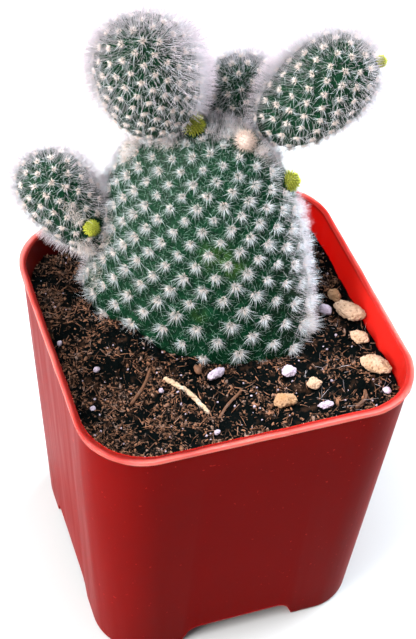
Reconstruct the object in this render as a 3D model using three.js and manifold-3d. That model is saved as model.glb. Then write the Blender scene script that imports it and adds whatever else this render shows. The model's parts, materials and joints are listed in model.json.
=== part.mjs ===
// Potted bunny ear cactus: a small prickly pear with white star tufts, in a square nursery pot.
// Millimetres, +Z up. The origin is on the pot's axis, on the surface that the pot stands on.

import * as THREE from 'three';
import Module from 'manifold-3d';
import { ConvexHull } from 'three/addons/math/ConvexHull.js';
import { mergeVertices } from 'three/addons/utils/BufferGeometryUtils.js';

const wasm = await Module();
wasm.setup();

// ---------------------------------------------------------------------------
// Driving dimensions
// ---------------------------------------------------------------------------

const GAP = 0.3; // clearance between pieces that touch on the real plant

const POT = {
  height: 73,
  rimHalf: 35, // half of the outer width over the rim band
  rimCorner: 13.6,
  lipProud: 0.5, // how far the rim band stands out from the wall
  lipHeight: 0.9,
  wall: 0.8,
  footHalf: 30.3,
  footCorner: 11.3,
  footEdge: 0.8, // bevel round the foot
  archHeight: 5.3, // the raised cross of the floor, open at the middle of each side
  archHalfTop: 11.3,
  archHalfFoot: 14.3,
  archFillet: 2,
  drainRadius: 3.5,
  sideDrainRadius: 2.2,
  sideDrainAt: 19,
};

const SOIL = {
  level: 66,
  crumb: 0.45, // height of the crumbs that roughen the surface
  cell: 3.1, // spacing of the surface points
  moundHeight: 2.4, // soil heaped against the left of the plant
  moundAt: [-19, 3],
  moundReach: 9,
  waves: [
    { height: 0.3, along: [0.31, 0.14], phase: 1.1 },
    { height: 0.25, along: [-0.22, 0.37], phase: 2.4 },
    { height: 0.2, along: [0.83, 0.4], phase: 0 },
    { height: 0.2, along: [-0.35, 0.71], phase: 2 },
  ],
};

// The plant stands turned about the vertical in its pot. Its own frame is right, back, up.
const PLANT_TURN = THREE.MathUtils.degToRad(-18.4);

// A pad is a flattened egg from foot to tip. Taper over 0 widens it towards the tip, and
// fullness over 2 squares it off. Facing is the way its broad side looks.
const PADS = {
  cactus_body: {
    foot: [-2.5, 7.6, 46],
    tip: [-3.2, 14.4, 110],
    halfWidth: 23.2,
    halfDepth: 14.6,
    taper: -0.26,
    fullness: 3.6,
    facing: [-0.33, -1, 0],
    spacing: 6,
    crowding: 0.35, // areoles stand closer together towards the tip
  },
  pad_left: {
    foot: [-23, 11.5, 79],
    tip: [-37.6, 15, 99.8],
    halfWidth: 7.3,
    halfDepth: 6.4,
    taper: 0.2,
    fullness: 2.2,
    facing: [0.1, -1, 0.3],
    spacing: 4.5,
    crowding: 0.1,
  },
  pad_upper: {
    foot: [-12.2, 16, 107.5],
    tip: [-17, 8.5, 137.2],
    halfWidth: 9.9,
    halfDepth: 8.2,
    taper: 0.06,
    fullness: 2.15,
    facing: [0, -1, 0.2],
    spacing: 4.5,
    crowding: 0.1,
  },
  pad_back: {
    foot: [2.8, 22.5, 97],
    tip: [4.6, 25.5, 118.7],
    halfWidth: 7.9,
    halfDepth: 6.5,
    taper: 0.1,
    fullness: 2.2,
    facing: [0, -1, 0.2],
    spacing: 4.5,
    crowding: 0.1,
  },
  pad_right: {
    foot: [8.6, 15, 107.2],
    tip: [26.6, 16.5, 128.6],
    halfWidth: 8.7,
    halfDepth: 6.9,
    taper: 0.12,
    fullness: 2.15,
    facing: [0, -1, 0.3],
    spacing: 4.5,
    crowding: 0.1,
  },
};

const TUFT = {
  ring: 0.75, // radius of the areole that the spines stand on
  cushion: 0.25, // height of the felt at its middle
  rise: 1.5, // height of a spine's tip above the skin
  reach: 1.55, // how far it leans out from the middle
  clearance: 0.7, // least distance between the spines of two pads
  padClearance: 1.2, // least distance from a spine's tip to another pad's skin
  near: 6, // tips further apart than this can't bring two spines together
  overSoil: 0.4,
};

// Buds sit on their parent's skin at a point of the plant's frame.
const BUDS = {
  bud_upper: { at: [-5.7, 12.7, 110.1], on: 'cactus_body', radius: 2.1, bristle: 0.28, colour: '#a9b83a' },
  bud_right: { at: [13.6, 8.9, 101.1], on: 'cactus_body', radius: 1.9, bristle: 0.28, colour: '#a9b83a' },
  bud_left: { at: [-25.4, 8.1, 88.1], on: 'pad_left', radius: 1.5, bristle: 0.25, colour: '#b4b936' },
  bud_tip: { at: [28.8, 15.6, 125.8], on: 'pad_right', radius: 1.1, bristle: 0.25, colour: '#b9c06a' },
  bud_woolly: { at: [4.8, 9.3, 109.6], on: 'cactus_body', radius: 1.9, bristle: 0.75, colour: '#e6e4e0' },
};
const BUD_FACES_FROM = 38; // points that a bud's skin is drawn from
const BUD_CLEARANCE = 1.9; // bare skin kept round a bud

// Chips and grains: middle, length, width, height and turn about the vertical in degrees.
const STONES = {
  pumice_ridge: { at: [30.2, -2.9, 68.1], size: [7.0, 4.0, 3.2], turn: -45, colour: '#d8b878' },
  pumice_knob: { at: [29.1, 2.5, 67.7], size: [3.4, 2.5, 2.4], turn: -70, colour: '#cfa54f' },
  pumice_middle: { at: [29.8, -10.2, 67.2], size: [4.5, 2.8, 2.2], turn: -57, colour: '#cdb78c' },
  pumice_corner: { at: [29.9, -18.6, 67.6], size: [7.2, 4.2, 3.0], turn: -47, colour: '#dcc493' },
  pumice_round: { at: [15.8, -19.7, 67.1], size: [2.9, 2.6, 2.0], turn: -16, colour: '#cbb183' },
  pumice_ochre: { at: [8.4, -22.5, 67.2], size: [5.2, 3.3, 2.4], turn: -7, colour: '#c69a4e' },
  pumice_ring: { at: [12.1, -14.9, 66.9], size: [3.0, 2.8, 1.8], turn: -16, colour: '#b3a08a' },
  shell_bean: { at: [-2.6, -11.7, 67.0], size: [4.4, 2.0, 1.9], turn: 17, colour: '#e9e4da' },
  bark_chip: { at: [-5.8, -9.4, 66.9], size: [2.6, 1.6, 1.5], turn: -82, colour: '#7a4630' },
  perlite_a: { at: [25.9, -0.4, 67.0], size: [3.3, 2.4, 2.2], turn: -70, colour: '#cfc6d6' },
  perlite_b: { at: [16.1, -25.6, 66.9], size: [3.1, 1.8, 1.7], turn: -6, colour: '#e4e0ea' },
  perlite_c: { at: [29.7, -25.2, 66.7], size: [2.4, 1.9, 1.6], turn: -49, colour: '#d6c9d4' },
  perlite_d: { at: [-25.7, -3.7, 66.6], size: [1.8, 1.4, 1.3], turn: 20, colour: '#c9c3d4' },
  perlite_e: { at: [-29.2, -13.6, 66.5], size: [1.6, 1.5, 1.3], turn: 0, colour: '#cdc8d8' },
  perlite_f: { at: [-31.0, 5.6, 66.4], size: [1.5, 1.4, 1.3], turn: 40, colour: '#c5bfd0' },
  perlite_g: { at: [-14.6, -12.6, 66.5], size: [1.5, 1.3, 1.2], turn: 10, colour: '#d2ccd9' },
  perlite_h: { at: [-7.3, -26.2, 66.5], size: [1.6, 1.4, 1.3], turn: 30, colour: '#cdc8d8' },
};
const STONE_DENT = 0.16; // how far a chip's corners are knocked in or out

// Twigs and root pieces that lie half sunk in the soil, as points along their middle line.
const TWIGS = {
  root_twig: {
    radius: 0.5,
    colour: '#cbb294',
    route: [[-13.1, -9.6], [-10.1, -13], [-8.9, -15.2], [-7.8, -18], [-7.4, -20.8]],
  },
  twig_front: {
    radius: 0.32,
    colour: '#8a6a48',
    route: [[1.1, -16.9], [-2.9, -19.9], [-5.6, -22.6]],
  },
  twig_curl: {
    radius: 0.42,
    colour: '#c99f8a',
    route: [[25.5, -23.4], [25.2, -25], [23.6, -26.3], [22, -27.2]],
  },
  twig_dark: {
    radius: 0.36,
    colour: '#6b4630',
    route: [[-15, -6.5], [-17.5, -10.5], [-21.5, -14.2]],
  },
};
const TWIG_SIDES = 6;
const TWIG_STEPS = 3; // lengths between two points of a route
const TWIG_LIFT = 0.1; // a twig's middle line over the soil
const GRAIN_SIZE = 2.5; // grains shorter than this have only twenty faces

// ---------------------------------------------------------------------------
// Solids and seeded numbers
// ---------------------------------------------------------------------------

const ROUGH_PLASTIC = 0.32;
const ROUGH_SKIN = 0.55;
const ROUGH_EARTH = 0.95;

// Returns the closed body that a geometry bounds, ready to be cut.
function solidOf(geometry) {
  const bare = geometry.clone();
  bare.deleteAttribute('normal');
  bare.deleteAttribute('uv');
  const merged = mergeVertices(bare, 1e-4);
  const vertProperties = new Float32Array(merged.attributes.position.array);
  const triVerts = new Uint32Array(merged.index.array);
  return new wasm.Manifold(new wasm.Mesh({ numProp: 3, vertProperties, triVerts }));
}

// Returns the geometry of a cut body, in one piece: loose crumbs of the cut are dropped.
function geometryOf(solid) {
  const pieces = solid.decompose();
  pieces.sort((a, b) => b.volume() - a.volume());
  const cut = pieces[0].getMesh();
  const geometry = new THREE.BufferGeometry();
  geometry.setAttribute('position', new THREE.BufferAttribute(new Float32Array(cut.vertProperties), 3));
  geometry.setIndex(new THREE.BufferAttribute(new Uint32Array(cut.triVerts), 1));
  geometry.computeVertexNormals();
  return geometry;
}

// Returns a geometry made of points and triangles given by their numbers.
function geometryFrom(points, triangles) {
  const geometry = new THREE.BufferGeometry();
  geometry.setFromPoints(points);
  geometry.setIndex(triangles.flat());
  geometry.computeVertexNormals();
  return geometry;
}

// Returns a generator of repeatable numbers from 0 to 1.
function seededRandom(seed) {
  let state = seed;
  return () => {
    state = (state * 1664525 + 1013904223) % 4294967296;
    return state / 4294967296;
  };
}

function meshOf(name, geometry, colour, roughness) {
  const material = new THREE.MeshStandardMaterial({ color: colour, roughness, metalness: 0 });
  const mesh = new THREE.Mesh(geometry, material);
  mesh.name = name;
  return mesh;
}

// ---------------------------------------------------------------------------
// Pot
// ---------------------------------------------------------------------------

const CORNER_STEPS = 8;

// Returns the points of a square with round corners, at one height.
function roundedSquare({ half, corner, z }) {
  const points = [];
  for (let quarter = 0; quarter < 4; quarter += 1) {
    const start = quarter * Math.PI / 2;
    const middle = start + Math.PI / 4;
    const x = Math.sign(Math.cos(middle)) * (half - corner);
    const y = Math.sign(Math.sin(middle)) * (half - corner);
    for (let step = 0; step <= CORNER_STEPS; step += 1) {
      const angle = start + step / CORNER_STEPS * Math.PI / 2;
      points.push(new THREE.Vector3(x + corner * Math.cos(angle), y + corner * Math.sin(angle), z));
    }
  }
  return points;
}

// Returns the outline of the tapered wall at a height, moved inwards by an inset.
function wallAt(z, inset) {
  const share = z / POT.height;
  const half = THREE.MathUtils.lerp(POT.footHalf, POT.rimHalf - POT.lipProud, share);
  const corner = THREE.MathUtils.lerp(POT.footCorner, POT.rimCorner - POT.lipProud, share);
  return { half: half - inset, corner: corner - inset, z };
}

// Returns the solid skinned over a stack of outlines, from the lowest to the highest.
function loft(outlines) {
  const rings = outlines.map(roundedSquare);
  const count = rings[0].length;
  const points = rings.flat();
  const triangles = [];
  for (let level = 0; level + 1 < rings.length; level += 1) {
    for (let i = 0; i < count; i += 1) {
      const next = (i + 1) % count;
      const a = level * count + i;
      const b = level * count + next;
      triangles.push([a, b, b + count], [a, b + count, a + count]);
    }
  }
  const last = (rings.length - 1) * count;
  for (let i = 1; i + 1 < count; i += 1) {
    triangles.push([0, i + 1, i], [last, last + i, last + i + 1]);
  }
  return solidOf(geometryFrom(points, triangles));
}

// Returns the solid that hollows the underside into a cross: an arch along X and one along Y.
function archCross(offset) {
  const foot = POT.archHalfFoot + offset;
  const top = POT.archHalfTop + offset;
  const height = POT.archHeight + offset;
  const below = -2;
  const fillet = POT.archFillet;
  const outline = new THREE.Shape();
  outline.moveTo(-foot, below);
  outline.lineTo(foot, below);
  outline.lineTo(foot, 0);
  outline.lineTo(top + fillet / 2, height - fillet);
  outline.quadraticCurveTo(top, height, top - fillet, height);
  outline.lineTo(fillet - top, height);
  outline.quadraticCurveTo(-top, height, -top - fillet / 2, height - fillet);
  outline.lineTo(-foot, 0);
  const length = 2 * POT.rimHalf;
  const arch = new THREE.ExtrudeGeometry(outline, { depth: length, bevelEnabled: false, curveSegments: 4 });
  arch.translate(0, 0, -length / 2);
  arch.rotateX(Math.PI / 2);
  const alongY = solidOf(arch);
  arch.rotateZ(Math.PI / 2);
  return alongY.add(solidOf(arch));
}

// Returns the space inside the pot, drawn in by an offset from the wall's outside.
function potInside(offset, top) {
  const space = loft([
    wallAt(offset, offset + POT.footEdge),
    wallAt(offset + POT.footEdge, offset),
    wallAt(top, offset),
  ]);
  return space.subtract(archCross(offset));
}

function drainHole(radius, x, y) {
  const hole = new THREE.CylinderGeometry(radius, radius, 2 * POT.archHeight, 20);
  hole.rotateX(Math.PI / 2);
  hole.translate(x, y, POT.archHeight);
  return solidOf(hole);
}

function makePot() {
  const underLip = POT.height - POT.lipHeight;
  const outside = loft([
    wallAt(0, POT.footEdge),
    wallAt(POT.footEdge, 0),
    wallAt(underLip, 0),
    wallAt(underLip + 0.01, -POT.lipProud),
    wallAt(POT.height, -POT.lipProud),
  ]);
  let pot = outside.subtract(archCross(0)).subtract(potInside(POT.wall, POT.height + 1));
  pot = pot.subtract(drainHole(POT.drainRadius, 0, 0));
  for (const [x, y] of [[1, 0], [-1, 0], [0, 1], [0, -1]]) {
    pot = pot.subtract(drainHole(POT.sideDrainRadius, x * POT.sideDrainAt, y * POT.sideDrainAt));
  }
  return pot;
}

// ---------------------------------------------------------------------------
// Pads
// ---------------------------------------------------------------------------

// Returns a point or direction of the plant's frame in the pot's frame.
function fromPlant([right, back, up]) {
  return new THREE.Vector3(right, back, up).applyAxisAngle(new THREE.Vector3(0, 0, 1), PLANT_TURN);
}

// The smooth form of a pad, reached from the directions of a unit ball whose +Z is the tip.
class PadForm {
  constructor(pad) {
    this.pad = pad;
    const foot = fromPlant(pad.foot);
    const tip = fromPlant(pad.tip);
    this.middle = foot.clone().lerp(tip, 0.5);
    this.halfLength = foot.distanceTo(tip) / 2;
    this.axis = tip.clone().sub(foot).normalize();
    this.depth = fromPlant(pad.facing).projectOnPlane(this.axis).normalize();
    this.width = new THREE.Vector3().crossVectors(this.depth, this.axis);
  }

  // How far up the pad a direction of the ball lies, from -1 at the foot to 1 at the tip.
  rise(direction) {
    return Math.sign(direction.z) * Math.abs(direction.z) ** (2 / this.pad.fullness);
  }

  point(direction, offset = 0) {
    const flat = Math.hypot(direction.x, direction.y) || 1e-9;
    const rise = this.rise(direction);
    const girth = flat ** (2 / this.pad.fullness) * (1 + this.pad.taper * rise);
    const across = (this.pad.halfWidth + offset) * girth * direction.x / flat;
    const through = (this.pad.halfDepth + offset) * girth * direction.y / flat;
    return this.middle.clone()
      .addScaledVector(this.axis, (this.halfLength + offset) * rise)
      .addScaledVector(this.width, across)
      .addScaledVector(this.depth, through);
  }

  // The direction of the ball whose skin point lies nearest over or under a point.
  direction(point) {
    const arm = point.clone().sub(this.middle);
    const rise = THREE.MathUtils.clamp(arm.dot(this.axis) / this.halfLength, -1, 1);
    const z = Math.sign(rise) * Math.abs(rise) ** (this.pad.fullness / 2);
    const flat = Math.sqrt(Math.max(0, 1 - z * z));
    const through = arm.dot(this.depth) / this.pad.halfDepth;
    const across = arm.dot(this.width) / this.pad.halfWidth;
    const turn = Math.atan2(through, across);
    return new THREE.Vector3(flat * Math.cos(turn), flat * Math.sin(turn), z);
  }

  contains(point, margin) {
    const arm = point.clone().sub(this.middle);
    const rise = arm.dot(this.axis) / (this.halfLength + margin);
    if (Math.abs(rise) >= 1) {
      return false;
    }
    const fullness = this.pad.fullness;
    const girth = (1 - Math.abs(rise) ** fullness) ** (1 / fullness) * (1 + this.pad.taper * rise);
    const across = arm.dot(this.width) / ((this.pad.halfWidth + margin) * girth);
    const through = arm.dot(this.depth) / ((this.pad.halfDepth + margin) * girth);
    return across * across + through * through < 1;
  }

  // The outward normal, from two short steps over the skin, started off any fixed line.
  normal(direction) {
    const nudge = 1e-3;
    const side = new THREE.Vector3(0.3, 0.5, 0.8).cross(direction).normalize();
    const other = new THREE.Vector3().crossVectors(direction, side);
    const sideways = this.slope(direction, side, nudge);
    const otherways = this.slope(direction, other, nudge);
    return sideways.cross(otherways).normalize();
  }

  slope(direction, along, nudge) {
    const ahead = direction.clone().addScaledVector(along, nudge).normalize();
    const behind = direction.clone().addScaledVector(along, -nudge).normalize();
    return this.point(ahead).sub(this.point(behind));
  }

  // The plain skin, moved outwards, as a solid that cuts a neighbour.
  solid(offset, detail) {
    const ball = new THREE.IcosahedronGeometry(1, detail);
    const place = ball.attributes.position;
    for (let i = 0; i < place.count; i += 1) {
      const direction = new THREE.Vector3().fromBufferAttribute(place, i).normalize();
      const point = this.point(direction, offset);
      place.setXYZ(i, point.x, point.y, point.z);
    }
    return solidOf(ball);
  }
}

// Returns the function that gives where a share, 0 to 1, of a measure's running total is reached.
function shareFinder(measure, from, to) {
  const steps = 400;
  const width = (to - from) / steps;
  const totals = [0];
  for (let i = 0; i < steps; i += 1) {
    totals.push(totals[i] + measure(from + (i + 0.5) * width) * width);
  }
  const find = (share) => {
    const wanted = share * totals[steps];
    const after = Math.max(1, totals.findIndex((total) => total >= wanted));
    const part = (wanted - totals[after - 1]) / (totals[after] - totals[after - 1]);
    return from + (after - 1 + part) * width;
  };
  return { find, total: totals[steps] };
}

const GOLDEN_ANGLE = Math.PI * (3 - Math.sqrt(5));

// Returns directions spread evenly over a pad's skin, in the crossed spirals that areoles follow.
function areoleDirections(form) {
  const { halfWidth, halfDepth, taper, fullness, spacing, crowding } = form.pad;
  const outline = (angle) => {
    const girth = Math.cos(angle) ** (2 / fullness);
    const rise = Math.sign(angle) * Math.abs(Math.sin(angle)) ** (2 / fullness);
    return { girth: girth * (1 + taper * rise), rise };
  };
  const nudge = 1e-3;
  const meanRadius = Math.sqrt(halfWidth * halfDepth);
  const skin = (angle) => {
    const low = outline(Math.max(angle - nudge, -Math.PI / 2));
    const high = outline(Math.min(angle + nudge, Math.PI / 2));
    const run = Math.hypot((high.rise - low.rise) * form.halfLength, (high.girth - low.girth) * meanRadius);
    const here = outline(angle);
    return 2 * Math.PI * meanRadius * here.girth * run / (2 * nudge) * (1 + crowding * here.rise);
  };
  const upwards = shareFinder(skin, -Math.PI / 2, Math.PI / 2);
  const rim = (turn) => Math.hypot(halfWidth * Math.sin(turn), halfDepth * Math.cos(turn));
  const around = shareFinder(rim, 0, 2 * Math.PI);
  const count = Math.round(upwards.total / (spacing * spacing * Math.sqrt(3) / 2));
  const directions = [];
  for (let i = 0; i < count; i += 1) {
    const angle = upwards.find((i + 0.5) / count);
    const turn = around.find((i * GOLDEN_ANGLE / (2 * Math.PI)) % 1);
    directions.push(new THREE.Vector3(
      Math.cos(angle) * Math.cos(turn),
      Math.cos(angle) * Math.sin(turn),
      Math.sin(angle),
    ));
  }
  return directions;
}

// Returns the triangles of a ball's skin over its directions, as number triples.
function hullTriangles(directions) {
  const numbers = new Map(directions.map((direction, i) => [direction, i]));
  const hull = new ConvexHull().setFromPoints(directions);
  return hull.faces.map((face) => {
    const corners = [];
    let edge = face.edge;
    do {
      corners.push(numbers.get(edge.head().point));
      edge = edge.next;
    } while (edge !== face.edge);
    return corners;
  });
}

// Returns the areoles of a pad: middle, outward normal, and the tip of the spine in each triangle.
function layAreoles(form, random) {
  const directions = areoleDirections(form);
  const triangles = hullTriangles(directions);
  const areoles = directions.map((direction) => ({
    middle: form.point(direction),
    normal: form.normal(direction),
    spines: new Map(),
  }));
  const ringPoint = (from, to) => {
    const along = areoles[to].middle.clone().sub(areoles[from].middle).setLength(TUFT.ring);
    return form.point(form.direction(along.add(areoles[from].middle)));
  };
  triangles.forEach((corners, t) => {
    corners.forEach((here, i) => {
      const next = corners[(i + 1) % 3];
      const last = corners[(i + 2) % 3];
      const areole = areoles[here];
      const first = ringPoint(here, next);
      const second = ringPoint(here, last);
      const out = first.clone().add(second).multiplyScalar(0.5).sub(areole.middle);
      out.projectOnPlane(areole.normal).normalize();
      const stretch = 0.85 + 0.3 * random();
      const tip = areole.middle.clone()
        .addScaledVector(areole.normal, TUFT.rise * stretch)
        .addScaledVector(out, TUFT.reach * stretch);
      areole.spines.set(t, { first, second, tip });
    });
  });
  return { triangles, areoles };
}

const forms = Object.fromEntries(Object.entries(PADS).map(([name, pad]) => [name, new PadForm(pad)]));
const budMiddles = Object.fromEntries(Object.entries(BUDS).map(([name, bud]) => {
  const form = forms[bud.on];
  return [name, form.point(form.direction(fromPlant(bud.at)))];
}));
const laidSpines = [];

function distanceBetween(one, other) {
  const line = new THREE.Line3(one.first, one.tip);
  let least = Infinity;
  for (const share of [0, 0.25, 0.5, 0.75, 1]) {
    const point = other.first.clone().lerp(other.tip, share);
    const nearest = line.closestPointToPoint(point, true, new THREE.Vector3());
    least = Math.min(least, nearest.distanceTo(point));
  }
  return least;
}

// An areole bears its tuft only where no neighbour, bud or soil is in the spines' way.
function bearsTuft(name, areole) {
  const spines = [...areole.spines.values()];
  for (const [other, form] of Object.entries(forms)) {
    if (other !== name && spines.some((spine) => form.contains(spine.tip, TUFT.padClearance))) {
      return false;
    }
  }
  for (const [bud, middle] of Object.entries(budMiddles)) {
    if (middle.distanceTo(areole.middle) < BUDS[bud].radius + BUD_CLEARANCE) {
      return false;
    }
  }
  if (spines.some(({ tip }) => tip.z < soilTop(tip.x, tip.y) + TUFT.overSoil)) {
    return false;
  }
  return !spines.some((spine) => laidSpines.some((laid) => laid.owner !== name
    && laid.tip.distanceTo(spine.tip) < TUFT.near
    && distanceBetween(laid, spine) < TUFT.clearance));
}

// Returns a pad's solid: skin between the areoles, and a star of spines raised on each areole.
function makePad(name, seed) {
  const form = forms[name];
  const { triangles, areoles } = layAreoles(form, seededRandom(seed));
  for (const areole of areoles) {
    areole.tufted = bearsTuft(name, areole);
  }
  const points = [];
  const faces = [];
  const add = (point) => points.push(point) - 1;
  for (const areole of areoles) {
    const lift = areole.tufted ? TUFT.cushion : 0;
    areole.number = add(areole.middle.clone().addScaledVector(areole.normal, lift));
    areole.ring = new Map();
  }
  const ringNumber = (areole, toward, point) => {
    if (!areole.ring.has(toward)) {
      areole.ring.set(toward, add(point));
    }
    return areole.ring.get(toward);
  };
  triangles.forEach((corners, t) => {
    const skin = [];
    corners.forEach((here, i) => {
      const areole = areoles[here];
      if (!areole.tufted) {
        skin.push(areole.number);
        return;
      }
      const spine = areole.spines.get(t);
      const first = ringNumber(areole, corners[(i + 1) % 3], spine.first);
      const second = ringNumber(areole, corners[(i + 2) % 3], spine.second);
      const tip = add(spine.tip);
      faces.push([areole.number, first, tip], [first, second, tip], [second, areole.number, tip]);
      skin.push(second, first);
      laidSpines.push({ owner: name, first: spine.first, tip: spine.tip });
    });
    if (skin.length === 6) {
      const [a, b, c, d, e, f] = skin;
      faces.push([a, b, c], [c, d, e], [e, f, a], [a, c, e]);
    } else {
      for (let i = 1; i + 1 < skin.length; i += 1) {
        faces.push([skin[0], skin[i], skin[i + 1]]);
      }
    }
  });
  return solidOf(geometryFrom(points, faces));
}

// ---------------------------------------------------------------------------
// Buds
// ---------------------------------------------------------------------------

// Returns a ball whose every facet rises to a low bristle.
function bristleBall(middle, radius, bristle) {
  const directions = [];
  for (let i = 0; i < BUD_FACES_FROM; i += 1) {
    const z = 1 - (2 * i + 1) / BUD_FACES_FROM;
    const flat = Math.sqrt(1 - z * z);
    const turn = i * GOLDEN_ANGLE;
    directions.push(new THREE.Vector3(flat * Math.cos(turn), flat * Math.sin(turn), z));
  }
  const points = directions.map((direction) => middle.clone().addScaledVector(direction, radius));
  const faces = [];
  for (const [a, b, c] of hullTriangles(directions)) {
    const out = directions[a].clone().add(directions[b]).add(directions[c]).normalize();
    const tip = points.push(middle.clone().addScaledVector(out, radius + bristle)) - 1;
    faces.push([a, b, tip], [b, c, tip], [c, a, tip]);
  }
  return solidOf(geometryFrom(points, faces));
}

// ---------------------------------------------------------------------------
// Soil and what lies in it
// ---------------------------------------------------------------------------

// Returns the height of the soil's surface, without the finest crumbs.
function soilTop(x, y) {
  const away = Math.hypot(x - SOIL.moundAt[0], y - SOIL.moundAt[1]) / SOIL.moundReach;
  const mound = SOIL.moundHeight * Math.exp(-away * away);
  const swell = SOIL.waves.reduce((sum, wave) => (
    sum + wave.height * Math.sin(wave.along[0] * x + wave.along[1] * y + wave.phase)
  ), 0);
  return SOIL.level + mound + swell;
}

function makeSoilBlock() {
  const random = seededRandom(66);
  const width = 2 * POT.rimHalf + 4;
  const cells = Math.round(width / SOIL.cell);
  const slab = new THREE.BoxGeometry(width, width, POT.height, cells, cells, 1);
  slab.translate(0, 0, POT.height / 2 - 1);
  const merged = mergeVertices(stripped(slab), 1e-4);
  const place = merged.attributes.position;
  for (let i = 0; i < place.count; i += 1) {
    if (place.getZ(i) > 1) {
      const x = place.getX(i);
      const y = place.getY(i);
      place.setZ(i, soilTop(x, y) + SOIL.crumb * (2 * random() - 1));
    }
  }
  return solidOf(merged).intersect(potInside(POT.wall + GAP, POT.height));
}

function stripped(geometry) {
  geometry.deleteAttribute('normal');
  geometry.deleteAttribute('uv');
  return geometry;
}

// Returns a chip with knocked corners, grown by an offset when it cuts its own pocket.
function stoneGeometry({ at, size, turn }, seed, offset) {
  const random = seededRandom(seed);
  const detail = size[0] < GRAIN_SIZE ? 0 : 1;
  const stone = mergeVertices(stripped(new THREE.IcosahedronGeometry(1, detail)), 1e-4);
  const place = stone.attributes.position;
  for (let i = 0; i < place.count; i += 1) {
    const knock = 1 + STONE_DENT * (2 * random() - 1);
    const corner = new THREE.Vector3().fromBufferAttribute(place, i).multiplyScalar(knock);
    place.setXYZ(i, corner.x, corner.y, corner.z);
  }
  stone.scale(...size.map((side) => side / 2 + offset));
  stone.rotateZ(THREE.MathUtils.degToRad(turn));
  stone.translate(...at);
  return stone;
}

// Returns a twig, or the trough that it lies in when an offset makes it thicker and longer.
function twigGeometry({ radius, route }, offset) {
  const points = route.map(([x, y]) => new THREE.Vector3(x, y, soilTop(x, y) + TWIG_LIFT));
  const [first, second] = points;
  const [beforeLast, last] = points.slice(-2);
  first.add(first.clone().sub(second).setLength(offset));
  last.add(last.clone().sub(beforeLast).setLength(offset));
  const path = new THREE.CatmullRomCurve3(points);
  const section = new THREE.Shape();
  for (let i = 0; i < TWIG_SIDES; i += 1) {
    const angle = i / TWIG_SIDES * 2 * Math.PI;
    const x = (radius + offset) * Math.cos(angle);
    const y = (radius + offset) * Math.sin(angle);
    if (i === 0) {
      section.moveTo(x, y);
    } else {
      section.lineTo(x, y);
    }
  }
  const steps = TWIG_STEPS * (route.length - 1);
  return new THREE.ExtrudeGeometry(section, { steps, extrudePath: path, bevelEnabled: false });
}

// ---------------------------------------------------------------------------
// Assembly
// ---------------------------------------------------------------------------

const FINE_CUT = 15; // detail of the skin that a pad's foot is cut to
const COARSE_CUT = 6; // detail of the hole in the soil
const HOLE_ALLOWANCE = 0.2; // the coarse hole's facets stand this much further out

// Each pair is a pad and the one that it is cut clear of.
const PAD_NEIGHBOURS = [
  ['pad_left', 'cactus_body'],
  ['pad_upper', 'cactus_body'],
  ['pad_right', 'cactus_body'],
  ['pad_back', 'cactus_body'],
  ['pad_back', 'pad_upper'],
  ['pad_back', 'pad_right'],
];

const pottedCactus = new THREE.Group();
pottedCactus.add(meshOf('pot', geometryOf(makePot()), '#b5271f', ROUGH_PLASTIC));

const bodyForm = forms.cactus_body;
const padSolids = {};
Object.keys(PADS).forEach((name, i) => {
  padSolids[name] = makePad(name, i + 1);
});
for (const [name, neighbour] of PAD_NEIGHBOURS) {
  padSolids[name] = padSolids[name].subtract(forms[neighbour].solid(GAP, FINE_CUT));
}
for (const [name, solid] of Object.entries(padSolids)) {
  pottedCactus.add(meshOf(name, geometryOf(solid), '#1d6a3c', ROUGH_SKIN));
}

for (const [name, bud] of Object.entries(BUDS)) {
  let solid = bristleBall(budMiddles[name], bud.radius, bud.bristle);
  for (const form of Object.values(forms)) {
    solid = solid.subtract(form.solid(GAP, FINE_CUT));
  }
  pottedCactus.add(meshOf(name, geometryOf(solid), bud.colour, ROUGH_SKIN));
}

let soil = makeSoilBlock().subtract(bodyForm.solid(GAP + HOLE_ALLOWANCE, COARSE_CUT));
Object.entries(STONES).forEach(([name, stone], i) => {
  soil = soil.subtract(solidOf(stoneGeometry(stone, i + 1, GAP)));
  pottedCactus.add(meshOf(name, stoneGeometry(stone, i + 1, 0), stone.colour, ROUGH_EARTH));
});
for (const [name, twig] of Object.entries(TWIGS)) {
  soil = soil.subtract(solidOf(twigGeometry(twig, GAP)));
  pottedCactus.add(meshOf(name, twigGeometry(twig, 0), twig.colour, ROUGH_EARTH));
}
pottedCactus.add(meshOf('soil', geometryOf(soil), '#2a211c', ROUGH_EARTH));

export default pottedCactus;
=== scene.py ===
"""Potted bunny ear cactus: the looks of the pot, the soil, the pads with their tufts, and the stage."""

import json
import math
from functools import partial

import bpy
import numpy as np
from bpy.props import FloatProperty, FloatVectorProperty, IntProperty, PointerProperty
from mathutils import Matrix, Vector, noise
from mathutils.bvhtree import BVHTree

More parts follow.
